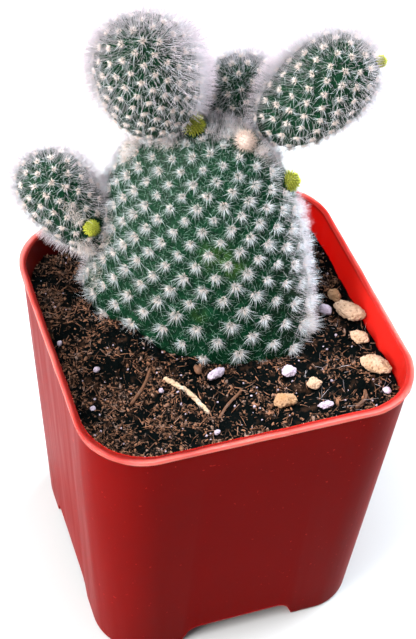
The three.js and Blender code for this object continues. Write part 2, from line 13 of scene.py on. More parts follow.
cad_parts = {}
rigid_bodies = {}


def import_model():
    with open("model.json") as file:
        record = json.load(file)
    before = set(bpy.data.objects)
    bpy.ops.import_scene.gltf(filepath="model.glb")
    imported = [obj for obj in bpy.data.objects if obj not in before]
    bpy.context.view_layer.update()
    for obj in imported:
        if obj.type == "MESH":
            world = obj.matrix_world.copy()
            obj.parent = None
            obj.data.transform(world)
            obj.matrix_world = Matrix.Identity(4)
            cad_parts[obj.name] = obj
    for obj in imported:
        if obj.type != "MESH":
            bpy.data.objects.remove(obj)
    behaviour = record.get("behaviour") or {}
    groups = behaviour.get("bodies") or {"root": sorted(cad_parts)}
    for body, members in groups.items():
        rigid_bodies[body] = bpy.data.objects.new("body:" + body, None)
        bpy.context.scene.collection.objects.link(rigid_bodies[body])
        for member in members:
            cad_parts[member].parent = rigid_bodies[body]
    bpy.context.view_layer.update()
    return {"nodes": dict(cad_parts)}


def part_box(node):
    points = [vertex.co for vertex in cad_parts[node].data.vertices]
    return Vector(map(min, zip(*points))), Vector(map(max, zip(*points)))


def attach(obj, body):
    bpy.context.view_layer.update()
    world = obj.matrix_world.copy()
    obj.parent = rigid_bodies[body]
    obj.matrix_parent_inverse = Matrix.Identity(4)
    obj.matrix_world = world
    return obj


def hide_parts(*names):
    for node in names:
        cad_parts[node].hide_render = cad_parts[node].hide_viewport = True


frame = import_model()

bl_info = {
    "name": "Potted bunny ear cactus",
    "version": (1, 0, 0),
    "blender": (4, 5, 0),
    "location": "View3D > Sidebar > Cactus",
    "description": "Builds a small prickly pear with white star tufts in a red nursery pot",
    "category": "Object",
}

MM = 0.001
FLAT = 1e-6  # less than this apart, two points lie level or together
BODY = "root"
POT_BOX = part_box("pot")


def linear(code):
    """Turns an sRGB hex colour into Blender's linear colour."""
    parts = [int(code[i:i + 2], 16) / 255 for i in (1, 3, 5)]
    return tuple(c / 12.92 if c <= 0.04045 else ((c + 0.055) / 1.055) ** 2.4 for c in parts)


# Settings


def length(name, description, millimetres):
    return FloatProperty(name=name, description=description, default=millimetres * MM, unit="LENGTH")


def number(name, description, default, least=0):
    return IntProperty(name=name, description=description, default=default, min=least)


def power(name, description, watts):
    return FloatProperty(name=name, description=description, default=watts, unit="POWER")


def colour(name, description, code):
    return FloatVectorProperty(
        name=name, description=description, default=linear(code), subtype="COLOR", min=0, max=1)


class CactusPotSettings(bpy.types.PropertyGroup):
    """Sizes and colours of the nursery pot."""

    rim_half: FloatProperty(
        name="Rim half width", description="Half of the width over the rim band",
        default=POT_BOX[1][0], unit="LENGTH")
    height: FloatProperty(
        name="Height", description="From the feet to the rim", default=POT_BOX[1][2], unit="LENGTH")
    lip_proud: length("Lip", "How far the rim band stands out from the wall", 0.5)
    lip_height: length("Lip height", "Height of the rim band", 0.9)
    wall: length("Wall", "Thickness of the wall and the floor", 0.8)
    corner: length("Corner", "Radius of the upright corners under the rim", 13.1)
    foot_half: length("Foot half width", "Half of the width at the foot", 30.3)
    foot_edge: length("Foot edge", "Rounding of the foot's edge", 0.8)
    arch_height: length("Arch height", "Height of the cross under the floor", 5.3)
    arch_half_top: length("Arch top", "Half width of the arch at its top", 11.3)
    arch_half_foot: length("Arch foot", "Half width of the arch at the surface", 14.3)
    wear: length("Rim wear", "How far the rim's edge is nicked and wavy", 0.13)
    red: colour("Red", "The moulded plastic", "#660B0A")
    # Also paints the top of the rim band brighter, a painted highlight; the specks are real tone.
    speck_and_rim_highlight_red: colour("Bright red", "Thin rim and edges, where light gets through", "#8C211D")
    # A painted glow on the inner wall, strongest toward the right and back.
    painted_glow_red: colour("Lining red", "The clean inner wall, which never gets rubbed", "#C8241C")
    # Painted highlight: the pale line along the outer edge of the rim band.
    edge_highlight_pink: colour("Scuff", "The scuffed edge of the rim", "#C8706A")


class CactusPlantSettings(bpy.types.PropertyGroup):
    """Sizes and colours of the pads, tufts and buds."""

    body_spacing: length("Stem pad spacing", "Distance between areoles on the stem pad", 4.7)
    pad_spacing: length("Pad spacing", "Distance between areoles on the younger pads", 3.1)
    tubercle: length("Tubercle", "Height of the swelling under each areole", 0.35)
    down: length("Down spacing", "Distance between the hairs of the fine down", 0.9)
    hair_length: length("Ray length", "Length of the longest hairs along the skin", 3.0)
    halo: length("Halo", "Length of the longest hairs that stand off the stem pad", 2.9)
    pad_halo: length("Pad halo", "Length of the longest hairs that stand off a younger pad", 4.1)
    hair_radius: length("Hair radius", "Radius of a hair at its root", 0.027)
    splayed: number("Splayed hairs", "Hairs that lie along the skin in each tuft", 24, 8)
    upright: number("Upright hairs", "Hairs that stand off the stem pad in each tuft", 44, 2)
    fringe: length("Fringe spacing", "Distance between the hairs of the fringe", 0.3)
    felt: number("Felt hairs", "Short hairs in a tuft's middle", 44, 4)
    deep_green: colour("Deep green", "Old skin", "#00200F")
    # Also painted on the swellings under the areoles, as a painted highlight.
    fresh_green: colour("Fresh green", "Young skin", "#012F1B")
    bloom_green: colour("Bloom green", "The fine pale bloom on the skin", "#3F7F58")
    yellow_green: colour("Yellow green", "Corky and pale patches", "#577A1C")
    hair_white: colour("Hair white", "Outer hairs", "#EFF6FC")
    hair_down: colour("Down", "The fine down between the tufts", "#4E9A72")
    hair_fringe: colour("Fringe", "The pink-white tips of the fringe round a pad", "#E6D6DF")
    hair_cream: colour("Hair cream", "The felt in the middle of a tuft", "#FFEFE6")
    bud_wool: colour("Bud wool", "The wool that still covers one bud", "#E9D6CB")
    bud_green: colour("Bud green", "The young buds", "#BFC43C")


class CactusSoilSettings(bpy.types.PropertyGroup):
    """Sizes and colours of the soil and what lies on it."""

    roughness: length("Roughness", "Height of the soil's lumps", 1.0)
    crumbs: number("Crumbs", "Loose crumbs on the soil", 9400)
    fibres: number("Fibres", "Coir fibres on the soil", 2400)
    threads: number("Threads", "Pale dry root threads", 90, 1)
    grit: number("Grit", "Specks of pale grit", 150)
    peat: colour("Peat", "Dark wet peat", "#020505")
    coir: colour("Coir", "Brown fibres and husk", "#7E5843")
    pumice: colour("Pumice", "Cream pumice", "#AC907A")
    ochre: colour("Ochre", "Stains on the pumice", "#80541F")
    perlite: colour("Perlite", "Lilac white grains", "#AB9DAC")


class CactusStageSettings(bpy.types.PropertyGroup):
    """The camera, floor and light."""

    camera_place: FloatVectorProperty(
        name="Camera place", description="Where the camera stands",
        default=(-0.08161, -0.20357, 0.29321), subtype="TRANSLATION", unit="LENGTH")
    camera_turn: FloatVectorProperty(
        name="Camera turn", description="Azimuth, elevation and roll of the view",
        default=tuple(math.radians(a) for a in (-21.38, 45.48, 4.2)), subtype="EULER", unit="ROTATION")
    focal_pixels: FloatProperty(
        name="Focal length", description="Focal length in pixels of the 416 by 639 picture", default=1505.2)
    floor: colour("Floor", "The pale floor", "#B4B4B4")
    key: power("Key", "Power of the window light", 25.0)
    top: power("Top", "Power of the light overhead", 23.0)
    behind: power("Behind", "Power of the light behind the right side", 40.0)
    room: FloatProperty(name="Room", description="Strength of the room's own light", default=0.22)


# Modelling helpers


def change_mode(mode):
    bpy.ops.object.mode_set(mode=mode)


def deselect():
    if bpy.context.mode != "OBJECT":
        change_mode("OBJECT")
    bpy.ops.object.select_all(action="DESELECT")


def activate(piece):
    deselect()
    piece.select_set(True)
    bpy.context.view_layer.objects.active = piece


def select_parts(piece, kind, wanted):
    """Leaves edit mode open with just the faces, or the edges by their two ends, that a test accepts."""
    change_mode("EDIT")
    bpy.ops.mesh.select_mode(type=kind)
    bpy.ops.mesh.select_all(action="DESELECT")
    change_mode("OBJECT")
    mesh = piece.data
    if kind == "FACE":
        for face in mesh.polygons:
            face.select = wanted(face)
    else:
        for edge in mesh.edges:
            edge.select = wanted(*(mesh.vertices[end].co for end in edge.vertices))
    change_mode("EDIT")


def settle(piece):
    """Puts the piece's place into its mesh."""
    activate(piece)
    bpy.ops.object.transform_apply(location=True, rotation=True, scale=True)


def apply_modifier(piece, kind, **settings):
    activate(piece)
    modifier = piece.modifiers.new(kind.title(), kind)
    for key, value in settings.items():
        setattr(modifier, key, value)
    bpy.ops.object.modifier_apply(modifier=modifier.name)


def smooth(piece, degrees=40):
    activate(piece)
    bpy.ops.object.shade_smooth_by_angle(angle=math.radians(degrees))


def coordinates(mesh):
    places = np.empty(len(mesh.vertices) * 3)
    mesh.vertices.foreach_get("co", places)
    return places.reshape(-1, 3)


def set_coordinates(mesh, places):
    mesh.vertices.foreach_set("co", np.ascontiguousarray(places, dtype=np.float64).ravel())
    mesh.update()


def triangles_of(mesh):
    mesh.calc_loop_triangles()
    corners = np.empty(len(mesh.loop_triangles) * 3, dtype=np.int32)
    mesh.loop_triangles.foreach_get("vertices", corners)
    return corners.reshape(-1, 3)


def add_object(name, data):
    piece = bpy.data.objects.new(name, data)
    bpy.context.scene.collection.objects.link(piece)
    return piece


def mesh_object(name, places, faces, attributes):
    """Makes one object of many bodies alike, from the corners of each and the triangles of one."""
    count, corners, _ = places.shape
    triangles = (np.arange(count) * corners)[:, None, None] + np.array(faces)[None]
    mesh = bpy.data.meshes.new(name)
    mesh.vertices.add(count * corners)
    mesh.vertices.foreach_set("co", np.ascontiguousarray(places, dtype=np.float64).ravel())
    mesh.loops.add(triangles.size)
    mesh.loops.foreach_set("vertex_index", np.ascontiguousarray(triangles, dtype=np.int32).ravel())
    mesh.polygons.add(triangles.size // 3)
    mesh.polygons.foreach_set("loop_start", np.arange(0, triangles.size, 3, dtype=np.int32))
    mesh.update(calc_edges=True)
    for key, values in attributes.items():
        add_attribute(mesh, key, values)
    return add_object(name, mesh)


def add_attribute(mesh, key, values):
    """Gives every point of a mesh its value, or all points the same one."""
    layer = mesh.attributes.new(key, "FLOAT", "POINT")
    layer.data.foreach_set("value", np.array(np.broadcast_to(values, len(mesh.vertices)), dtype=np.float32))


def centre_of(node):
    return sum(np.array(corner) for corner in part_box(node)) / 2


def distances(points, place):
    return np.linalg.norm(points - place, axis=1)


def copy_of(node, name):
    """Returns a copy of a CAD node's solid, with its loose triangles merged."""
    piece = add_object(name, frame["nodes"][node].data.copy())
    piece.data.name = name
    activate(piece)
    change_mode("EDIT")
    bpy.ops.mesh.select_all(action="SELECT")
    bpy.ops.mesh.remove_doubles(threshold=FLAT)
    change_mode("OBJECT")
    piece.data.materials.clear()
    return piece


def finish_piece(piece, material, slot, *nodes):
    """Gives a piece its finish, hangs it on the frame and lets it stand for its CAD nodes."""
    piece.data.materials.clear()
    piece.data.materials.append(material)
    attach(piece, BODY)
    if nodes:
        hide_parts(*nodes)


# Materials

MIX_FACTOR, MIX_A, MIX_B = 0, 6, 7
COLOUR_MIX = {"out": 2, "data_type": "RGBA"}


def fill_sockets(tree, node, inputs):
    """Puts a value or a link into each named or numbered socket of a node."""
    for key, value in inputs.items():
        if isinstance(value, bpy.types.NodeSocket):
            tree.links.new(value, node.inputs[key])
        else:
            node.inputs[key].default_value = value


def add_node(tree, kind, inputs=None, out=0, **settings):
    """Adds one node with its own choices and filled sockets, and returns one of its outputs."""
    node = tree.nodes.new("ShaderNode" + kind)
    for key, value in settings.items():
        setattr(node, key, value)
    fill_sockets(tree, node, inputs or {})
    return node.outputs[out]


def start_material(name, **constants):
    """Returns a new material, what adds a node to it and what fills its shader's sockets."""
    material = bpy.data.materials.new(name)
    material.use_nodes = True
    tree = material.node_tree
    finish = partial(fill_sockets, tree, tree.nodes["Principled BSDF"])
    finish({key.replace("_", " "): value for key, value in constants.items()})
    return material, partial(add_node, tree), finish


def scaled(values, strength):
    return [min(1, c * strength) for c in values]


def rgba(values, strength=1.0):
    return (*scaled(values, strength), 1.0)


def moulded_polypropylene(settings):
    # Injection moulded polypropylene: satin where it is new, with upright streaks of wear in its roughness
    # and a soft waviness in the thin wall. The rim band's top is painted brighter, a painted highlight for
    # the light that gets through its edge, and a pale painted highlight runs along its outer edge. The
    # inner wall has a painted glow toward the right and back, and painted shade toward the left.
    material, node, finish = start_material(
        "Red moulded polypropylene", IOR=1.49, Metallic=0.0, Specular_IOR_Level=0.007,
        Specular_Tint=(1.0, 0.3, 0.2, 1.0), Subsurface_Weight=0.95, Subsurface_Radius=(3.0, 0.4, 0.25),
        Subsurface_Scale=1.0 * MM)
    place = node("TexCoord", out="Object")
    rise = node("SeparateXYZ", {"Vector": place}, out="Z")
    # These attributes carry a pale painted highlight on the rim band's outer edge, a painted glow on the
    # inner wall and painted shade on the inner wall toward the left.
    edge = node("Attribute", attribute_name="edge", out="Fac")
    lining = node("Attribute", attribute_name="lining", out="Fac")
    dust = node("Attribute", attribute_name="dust", out="Fac")
    cloud = node("TexNoise", {"Vector": place, "Scale": 60.0, "Detail": 3.0})
    specks = node("TexNoise", {"Vector": place, "Scale": 1100.0, "Detail": 1.0})
    stretched = node("Mapping", {"Vector": place, "Scale": (1.0, 1.0, 0.06)})
    streaks = node("TexNoise", {"Vector": stretched, "Scale": 420.0, "Detail": 4.0})
    speckled = node("MapRange", {"Value": specks, "From Min": 0.74, "From Max": 0.78})
    # Painted highlight: the top of the rim band is painted brighter.
    painted_rim_highlight = node("MapRange", {
        "Value": rise, "From Min": settings.height - 0.9 * MM, "From Max": settings.height - 0.1 * MM})
    # Near-black painted shade on the inner wall toward the left.
    painted_shade = node("Math", {0: dust, 1: 0.8}, operation="MULTIPLY")
    # Pale painted highlight along the rim band's outer edge, broken up by noise.
    highlighted = node("Math", {0: edge, 1: cloud}, operation="MULTIPLY")
    edge_highlight = node("MapRange", {"Value": highlighted, "From Min": 0.18, "From Max": 0.5, "To Max": 0.8})
    base = rgba(settings.red, 0.86)
    # Painted light among these coats: the glow on the inner wall, the rim band's bright top, the near-black
    # coat and the pale edge.
    for mask, coat in (
            (cloud, settings.red), (speckled, settings.speck_and_rim_highlight_red), (lining, settings.painted_glow_red),
            (painted_rim_highlight, settings.speck_and_rim_highlight_red), (painted_shade, linear("#120807")), (edge_highlight, settings.edge_highlight_pink)):
        base = node("Mix", {MIX_FACTOR: mask, MIX_A: base, MIX_B: rgba(coat)}, **COLOUR_MIX)
    rough = node("MapRange", {"Value": streaks, "To Min": 0.2, "To Max": 0.5})
    bump = node("Bump", {"Height": cloud, "Strength": 0.12, "Distance": 0.4 * MM})
    finish({"Base Color": base, "Roughness": rough, "Normal": bump})
    return material


def cactus_skin(settings, name, youth):
    # Waxy cactus skin: thick, smooth and satin, deep green with a random darker mottle, painted lighter
    # where the tubercles swell than in the hollows between them, a painted highlight, with a fine pale
    # bloom and a few corky yellow patches low on the old pad.
    material, node, finish = start_material(name, IOR=1.42, Roughness=0.5, Specular_IOR_Level=0.12)
    place = node("TexCoord", out="Object")
    swelling = node("Attribute", attribute_name="swelling", out="Fac")
    patch = node("Attribute", attribute_name="patch", out="Fac")
    cloud = node("TexNoise", {"Vector": place, "Scale": 620.0, "Detail": 5.0})
    grain = node("TexNoise", {"Vector": place, "Scale": 2400.0, "Detail": 3.0, "Distortion": 1.5})
    depth = node("MapRange", {"Value": cloud, "From Min": 0.35, "From Max": 0.65})
    fleck = node("MapRange", {"Value": grain, "From Min": 0.56, "From Max": 0.74, "To Max": 0.48})
    grainy = node("Math", {0: patch, 1: grain}, operation="MULTIPLY")
    stained = node("Math", {0: grainy, 1: depth}, operation="MULTIPLY")
    low = tuple(d * (1 - youth) + f * youth for d, f in zip(settings.deep_green, settings.fresh_green))
    base = rgba(low, 0.35)
    # The swellings take the fresh green: a painted highlight on the tubercles.
    for mask, coat in (
            (depth, low), (swelling, settings.fresh_green), (fleck, settings.bloom_green),
            (stained, settings.yellow_green)):
        base = node("Mix", {MIX_FACTOR: mask, MIX_A: base, MIX_B: rgba(coat)}, **COLOUR_MIX)
    bump = node("Bump", {"Height": grain, "Strength": 0.25, "Distance": 0.1 * MM})
    finish({"Base Color": base, "Normal": bump})
    return material


def cactus_hair(name, base, tip, settings):
    # Fine plant hair: dry, pale and thin enough to glow when light falls through it, cream where
    # the hairs crowd at the root.
    material, node, finish = start_material(name, IOR=1.5, Roughness=0.6, Specular_IOR_Level=0.2)
    along = node("Attribute", attribute_name="along", out="Fac")
    shade = node("Attribute", attribute_name="shade", out="Fac")
    root = node("MapRange", {
        "Value": along, "From Min": 0.0, "From Max": 0.3, "To Min": 0.35, "To Max": 0.0})
    toned = rgba(base)
    for mask, coat in ((along, tip), (shade, settings.hair_cream), (root, settings.hair_cream)):
        toned = node("Mix", {MIX_FACTOR: mask, MIX_A: toned, MIX_B: rgba(coat)}, **COLOUR_MIX)
    finish({"Base Color": toned})
    through = node("BsdfTranslucent", {"Color": toned})
    tree = material.node_tree
    both = node("MixShader", {0: 0.4, 1: tree.nodes["Principled BSDF"].outputs[0], 2: through})
    fill_sockets(tree, tree.nodes["Material Output"], {"Surface": both})
    return material


def bud_scales(settings):
    # Young bud: soft yellow-green scales and bristles, painted darker toward their roots and on the heart,
    # painted shade in the gaps between them.
    material, node, finish = start_material("Bud scales", IOR=1.42, Roughness=0.6)
    along = node("Attribute", attribute_name="along", out="Fac")
    shaded = node("Mix", {
        MIX_FACTOR: along, MIX_A: rgba(settings.bud_green, 0.2), MIX_B: rgba(settings.bud_green, 1.4),
    }, **COLOUR_MIX)
    finish({"Base Color": shaded})
    return material


def peat_mix(settings):
    # Damp peat and coir mix: nearly black in the hollows, brown and dusty on the crumbs.
    material, node, finish = start_material("Peat mix", IOR=1.4, Roughness=0.95, Specular_IOR_Level=0.05)
    place = node("TexCoord", out="Object")
    coarse = node("TexNoise", {"Vector": place, "Scale": 420.0, "Detail": 5.0})
    fine = node("TexNoise", {"Vector": place, "Scale": 2200.0, "Detail": 3.0})
    mask = node("MapRange", {"Value": coarse, "From Min": 0.55, "From Max": 0.75, "To Max": 0.5})
    toned = node("Mix", {
        MIX_FACTOR: mask, MIX_A: rgba(settings.peat), MIX_B: rgba(settings.coir, 0.3)}, **COLOUR_MIX)
    bump = node("Bump", {"Height": fine, "Strength": 0.9, "Distance": 0.35 * MM})
    finish({"Base Color": toned, "Normal": bump})
    return material


def toned_litter(name, dark, light, roughness=0.85):
    # Dry plant scraps: each scrap keeps one tone between dark and light, with a fine grain.
    material, node, finish = start_material(name, IOR=1.4, Roughness=roughness, Specular_IOR_Level=0.15)
    place = node("TexCoord", out="Object")
    shade = node("Attribute", attribute_name="shade", out="Fac")
    grain = node("TexNoise", {"Vector": place, "Scale": 3000.0, "Detail": 2.0})
    mixed = node("Math", {0: shade, 1: grain}, operation="MULTIPLY")
    doubled = node("Math", {0: mixed, 1: 2.0}, operation="MULTIPLY")
    patches = node("TexNoise", {"Vector": place, "Scale": 700.0, "Detail": 1.0})
    faded = node("MapRange", {"Value": patches, "From Min": 0.5, "From Max": 0.7, "To Max": 0.8})
    grey = sum(light) / 3
    weathered = node("Mix", {
        MIX_FACTOR: faded, MIX_A: rgba(light), MIX_B: rgba([0.45 * c + 0.75 * grey for c in light]),
    }, **COLOUR_MIX)
    toned = node("Mix", {MIX_FACTOR: doubled, MIX_A: rgba(dark), MIX_B: weathered}, **COLOUR_MIX)
    finish({"Base Color": toned})
    return material


def porous_stone(name, light, stain, pore):
    # Volcanic chip: rough, dusty and full of small pores, stained in patches, with dark spots of painted
    # shade where the pores open.
    material, node, finish = start_material(name, IOR=1.5, Roughness=0.9, Specular_IOR_Level=0.3)
    place = node("TexCoord", out="Object")
    cloud = node("TexNoise", {"Vector": place, "Scale": 420.0, "Detail": 6.0})
    grain = node("TexNoise", {"Vector": place, "Scale": 2300.0, "Detail": 3.0})
    pores = node("TexVoronoi", {"Vector": place, "Scale": 1 / pore})
    stained = node("MapRange", {"Value": cloud, "From Min": 0.46, "From Max": 0.68, "To Max": 0.9})
    # Painted shade: dark spots where the pores open.
    pore_shade = node("MapRange", {
        "Value": pores, "From Min": 0.05, "From Max": 0.3, "To Min": 0.75, "To Max": 0.0})
    base = rgba(light)
    for mask, coat in ((stained, stain), (grain, scaled(light, 1.3)), (pore_shade, scaled(stain, 0.3))):
        base = node("Mix", {MIX_FACTOR: mask, MIX_A: base, MIX_B: rgba(coat)}, **COLOUR_MIX)
    rough = node("Math", {0: pores, 1: grain}, operation="ADD")
    bump = node("Bump", {"Height": rough, "Strength": 0.8, "Distance": 0.22 * MM})
    finish({"Base Color": base, "Normal": bump})
    return material


def matt_floor(settings):
    # White seamless paper: matt, even, with the faintest tooth.
    material, node, finish = start_material("White seamless paper", IOR=1.4, Roughness=0.9)
    tooth = node("TexNoise", {"Vector": node("TexCoord", out="Object"), "Scale": 900.0})
    toned = node("Mix", {
        MIX_FACTOR: tooth, MIX_A: rgba(settings.floor, 0.985), MIX_B: rgba(settings.floor),
    }, **COLOUR_MIX)
    finish({"Base Color": toned})
    return material


# Pot

WALL_STRIPS = 14  # upright strips on each straight wall
CORNER_SEGMENTS = 16
JUST_INSIDE = 0.999  # keeps cuts and bevels from meeting in one line
DRAIN_RADIUS, SIDE_DRAIN_RADIUS, SIDE_DRAIN_PLACE = 3.5 * MM, 2.2 * MM, 19 * MM


def widen(share, height):
    bpy.ops.transform.resize(value=(share, share, 1), center_override=(0, 0, height))


def raise_faces(distance):
    bpy.ops.mesh.extrude_region_move(TRANSFORM_OT_translate={"value": (0, 0, distance)})


def make_pot_shell(settings):
    """Shapes the tapered cup with its rim band from a cube, by bisect, bevel, extrude and inset."""
    top = settings.rim_half - settings.lip_proud
    under_lip = settings.height - settings.lip_height
    deselect()
    bpy.ops.mesh.primitive_cube_add(size=2 * top, location=(0, 0, under_lip / 2))
    pot = bpy.context.object
    pot.name = "red_pot"
    pot.scale = (1, 1, under_lip / (2 * top))
    settle(pot)
    change_mode("EDIT")
    straight = top - settings.corner
    for i in range(WALL_STRIPS + 1):
        along = straight * (2 * i / WALL_STRIPS - 1) * JUST_INSIDE
        for direction in ((1, 0, 0), (0, 1, 0)):
            bpy.ops.mesh.select_all(action="SELECT")
            bpy.ops.mesh.bisect(plane_co=[along * d for d in direction], plane_no=direction)
    select_parts(pot, "EDGE", lambda a, b: (
        min(abs(a.x), abs(a.y), abs(b.x), abs(b.y)) > top - FLAT and abs(a.z - b.z) > 1e-3))
    bpy.ops.mesh.bevel(offset=settings.corner * JUST_INSIDE, segments=CORNER_SEGMENTS, affect="EDGES")
    select_parts(pot, "FACE", lambda face: face.center.z < FLAT)
    widen(settings.foot_half / top, 0)
    select_parts(pot, "EDGE", lambda a, b: (
        max(a.z, b.z) < FLAT and on_outline(a, settings) and on_outline(b, settings)))
    bpy.ops.mesh.bevel(offset=settings.foot_edge, segments=4, affect="EDGES")
    select_parts(pot, "FACE", lambda face: face.center.z > under_lip - FLAT)
    raise_faces(0)
    widen(settings.rim_half / top, under_lip)
    raise_faces(settings.lip_height)
    rim_width = settings.lip_proud + settings.wall
    raise_faces(0)
    widen((settings.rim_half - rim_width) / settings.rim_half, settings.height)
    floor = settings.arch_height + settings.wall
    raise_faces(floor - settings.height)
    share = floor / settings.height
    inner_floor = settings.foot_half + (top - settings.foot_half) * share - settings.wall
    widen(inner_floor / (settings.rim_half - rim_width), floor)
    change_mode("OBJECT")
    return pot


def on_outline(point, settings):
    """Whether a point of the foot lies on its outline, and not inside it."""
    half = settings.foot_half
    corner = settings.corner * settings.foot_half / (settings.rim_half - settings.lip_proud)
    x = abs(point.x) - (half - corner)
    y = abs(point.y) - (half - corner)
    if x > 0 and y > 0:
        return math.hypot(x, y) > corner - 0.2 * MM
    return max(abs(point.x), abs(point.y)) > half - 0.05 * MM


def arch_cutter(settings, turn):
    deselect()
    size = 2 * settings.arch_half_foot
    bpy.ops.mesh.primitive_cube_add(size=size, location=(0, 0, 0), rotation=(0, 0, turn))
    cutter = bpy.context.object
    below = 2 * MM
    cutter.scale = (1, 2.4 * settings.rim_half / size, (settings.arch_height + below) / size)
    cutter.location.z = (settings.arch_height - below) / 2
    settle(cutter)
    select_parts(cutter, "FACE", lambda face: face.normal.z > 0.9)
    share = settings.arch_half_top / settings.arch_half_foot
    value = (share, 1, 1) if turn == 0 else (1, share, 1)
    bpy.ops.transform.resize(value=value, center_override=(0, 0, settings.arch_height))
    select_parts(cutter, "EDGE", lambda a, b: (
        min(a.z, b.z) > settings.arch_height - FLAT and (a - b).length > settings.rim_half))
    bpy.ops.mesh.bevel(offset=2 * MM, segments=6, affect="EDGES")
    change_mode("OBJECT")
    return cutter


def drain_cutter(radius, x, y):
    deselect()
    bpy.ops.mesh.primitive_cylinder_add(
        vertices=32, radius=radius, depth=12 * MM, location=(x, y, 5 * MM))
    settle(bpy.context.object)
    return bpy.context.object


def cut(piece, cutter):
    apply_modifier(piece, "BOOLEAN", object=cutter, operation="DIFFERENCE", solver="EXACT")
    bpy.data.objects.remove(cutter, do_unlink=True)


def outline_distance(places, half, corner):
    """How far points lie inside a rounded square, seen from above."""
    past = np.abs(places[:, :2]) - (half - corner)  # half may be a column of values, one per point
    outside = np.hypot(np.maximum(past[:, 0], 0), np.maximum(past[:, 1], 0))
    return corner - outside - np.minimum(np.maximum(past[:, 0], past[:, 1]), 0)


def mark_edges(pot, settings):
    """Marks the outer edges of the rim band for a painted highlight, and the inner wall for a painted glow
    toward the right and back and painted shade toward the left.
    """
    places = coordinates(pot.data)
    inside = outline_distance(places, settings.rim_half, settings.corner + settings.lip_proud)
    edge = np.clip(1 - inside / (0.4 * MM), 0, 1)
    under_lip = settings.height - settings.lip_height
    edge[places[:, 2] < under_lip - 0.05 * MM] = 0
    add_attribute(pot.data, "edge", edge)
    top = settings.rim_half - settings.lip_proud
    half = settings.foot_half + (top - settings.foot_half) * np.clip(places[:, 2] / under_lip, 0, 1)
    lining = outline_distance(places, half[:, None], settings.corner) > 0.6 * settings.wall
    floor = settings.arch_height + settings.wall
    lining &= places[:, 2] > floor + 1 * MM
    # The painted glow grows toward the right and the back; painted shade takes the inner wall toward the
    # left.
    glowing = np.interp(places[:, 0] / settings.rim_half, (-0.2, 0.6), (0, 1))
    glow_to_back = np.interp(places[:, 1] / settings.rim_half, (-0.7, 0.4), (0.4, 1))
    add_attribute(pot.data, "lining", lining * glowing * glow_to_back)
    add_attribute(pot.data, "dust", lining * (1 - glowing))


def wear_rim(pot, settings):
    """Makes the moulded rim band slightly wavy, with small nicks along its edges."""
    noise.seed_set(4)
    places = coordinates(pot.data)
    low = settings.height - settings.lip_height - 0.1 * MM
    for i in np.nonzero(places[:, 2] > low)[0]:
        place = Vector(places[i])
        wave = noise.noise_vector(place / (5 * MM)) * 0.5 + noise.noise_vector(place / (1.2 * MM)) * 0.5
        nick = max(0.0, noise.noise(place / (2.2 * MM)) - 0.28)
        places[i] += np.array(wave) * settings.wear
        places[i, :2] *= 1 - nick * settings.wear / settings.rim_half
    set_coordinates(pot.data, places)


class CACTUS_OT_pot(bpy.types.Operator):
    """Make the square nursery pot with its rim band, arched foot and drain holes"""

    bl_idname = "cactus.pot"
    bl_label = "Pot"

    def execute(self, context):
        settings = context.scene.cactus_pot
        pot = make_pot_shell(settings)
        cut(pot, arch_cutter(settings, 0))
        cut(pot, arch_cutter(settings, math.pi / 2))
        cut(pot, drain_cutter(DRAIN_RADIUS, 0, 0))
        for x, y in ((1, 0), (-1, 0), (0, 1), (0, -1)):
            cut(pot, drain_cutter(SIDE_DRAIN_RADIUS, SIDE_DRAIN_PLACE * x, SIDE_DRAIN_PLACE * y))
        apply_modifier(pot, "BEVEL", width=0.16 * MM, segments=2, limit_method="ANGLE",
                       angle_limit=math.radians(50))
        mark_edges(pot, settings)
        wear_rim(pot, settings)
        smooth(pot, 35)
        finish_piece(pot, moulded_polypropylene(settings), "red_plastic", "pot")
        return {"FINISHED"}


# Pads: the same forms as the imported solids, in millimetres

PLANT_TURN = math.radians(-18.4)
PADS = {
    "cactus_body": dict(
        foot=(-2.5, 7.6, 46), tip=(-3.2, 14.4, 110), half_width=23.2, half_depth=14.6,
        taper=-0.26, fullness=3.6, facing=(-0.33, -1, 0), crowding=0.8, youth=0.15),
    "pad_left": dict(
        foot=(-23, 11.5, 79), tip=(-37.6, 15, 99.8), half_width=7.3, half_depth=6.4,
        taper=0.2, fullness=2.2, facing=(0.1, -1, 0.3), crowding=0.1, youth=0.55),
    "pad_upper": dict(
        foot=(-12.2, 16, 107.5), tip=(-17, 8.5, 137.2), half_width=9.9, half_depth=8.2,
        taper=0.06, fullness=2.15, facing=(0, -1, 0.2), crowding=0.1, youth=0.3),
    "pad_back": dict(
        foot=(2.8, 22.5, 97), tip=(4.6, 25.5, 118.7), half_width=7.9, half_depth=6.5,
        taper=0.1, fullness=2.2, facing=(0, -1, 0.2), crowding=0.1, youth=0.3),
    "pad_right": dict(
        foot=(8.6, 15, 107.2), tip=(26.6, 16.5, 128.6), half_width=8.7, half_depth=6.9,
        taper=0.12, fullness=2.15, facing=(0, -1, 0.3), crowding=0.1, youth=0.4),
}
GOLDEN_ANGLE = math.pi * (3 - math.sqrt(5))


def from_plant(place):
    return np.array(Matrix.Rotation(PLANT_TURN, 3, "Z") @ Vector(place))


def unit(vectors):
    return vectors / np.maximum(np.linalg.norm(vectors, axis=-1, keepdims=True), 1e-12)


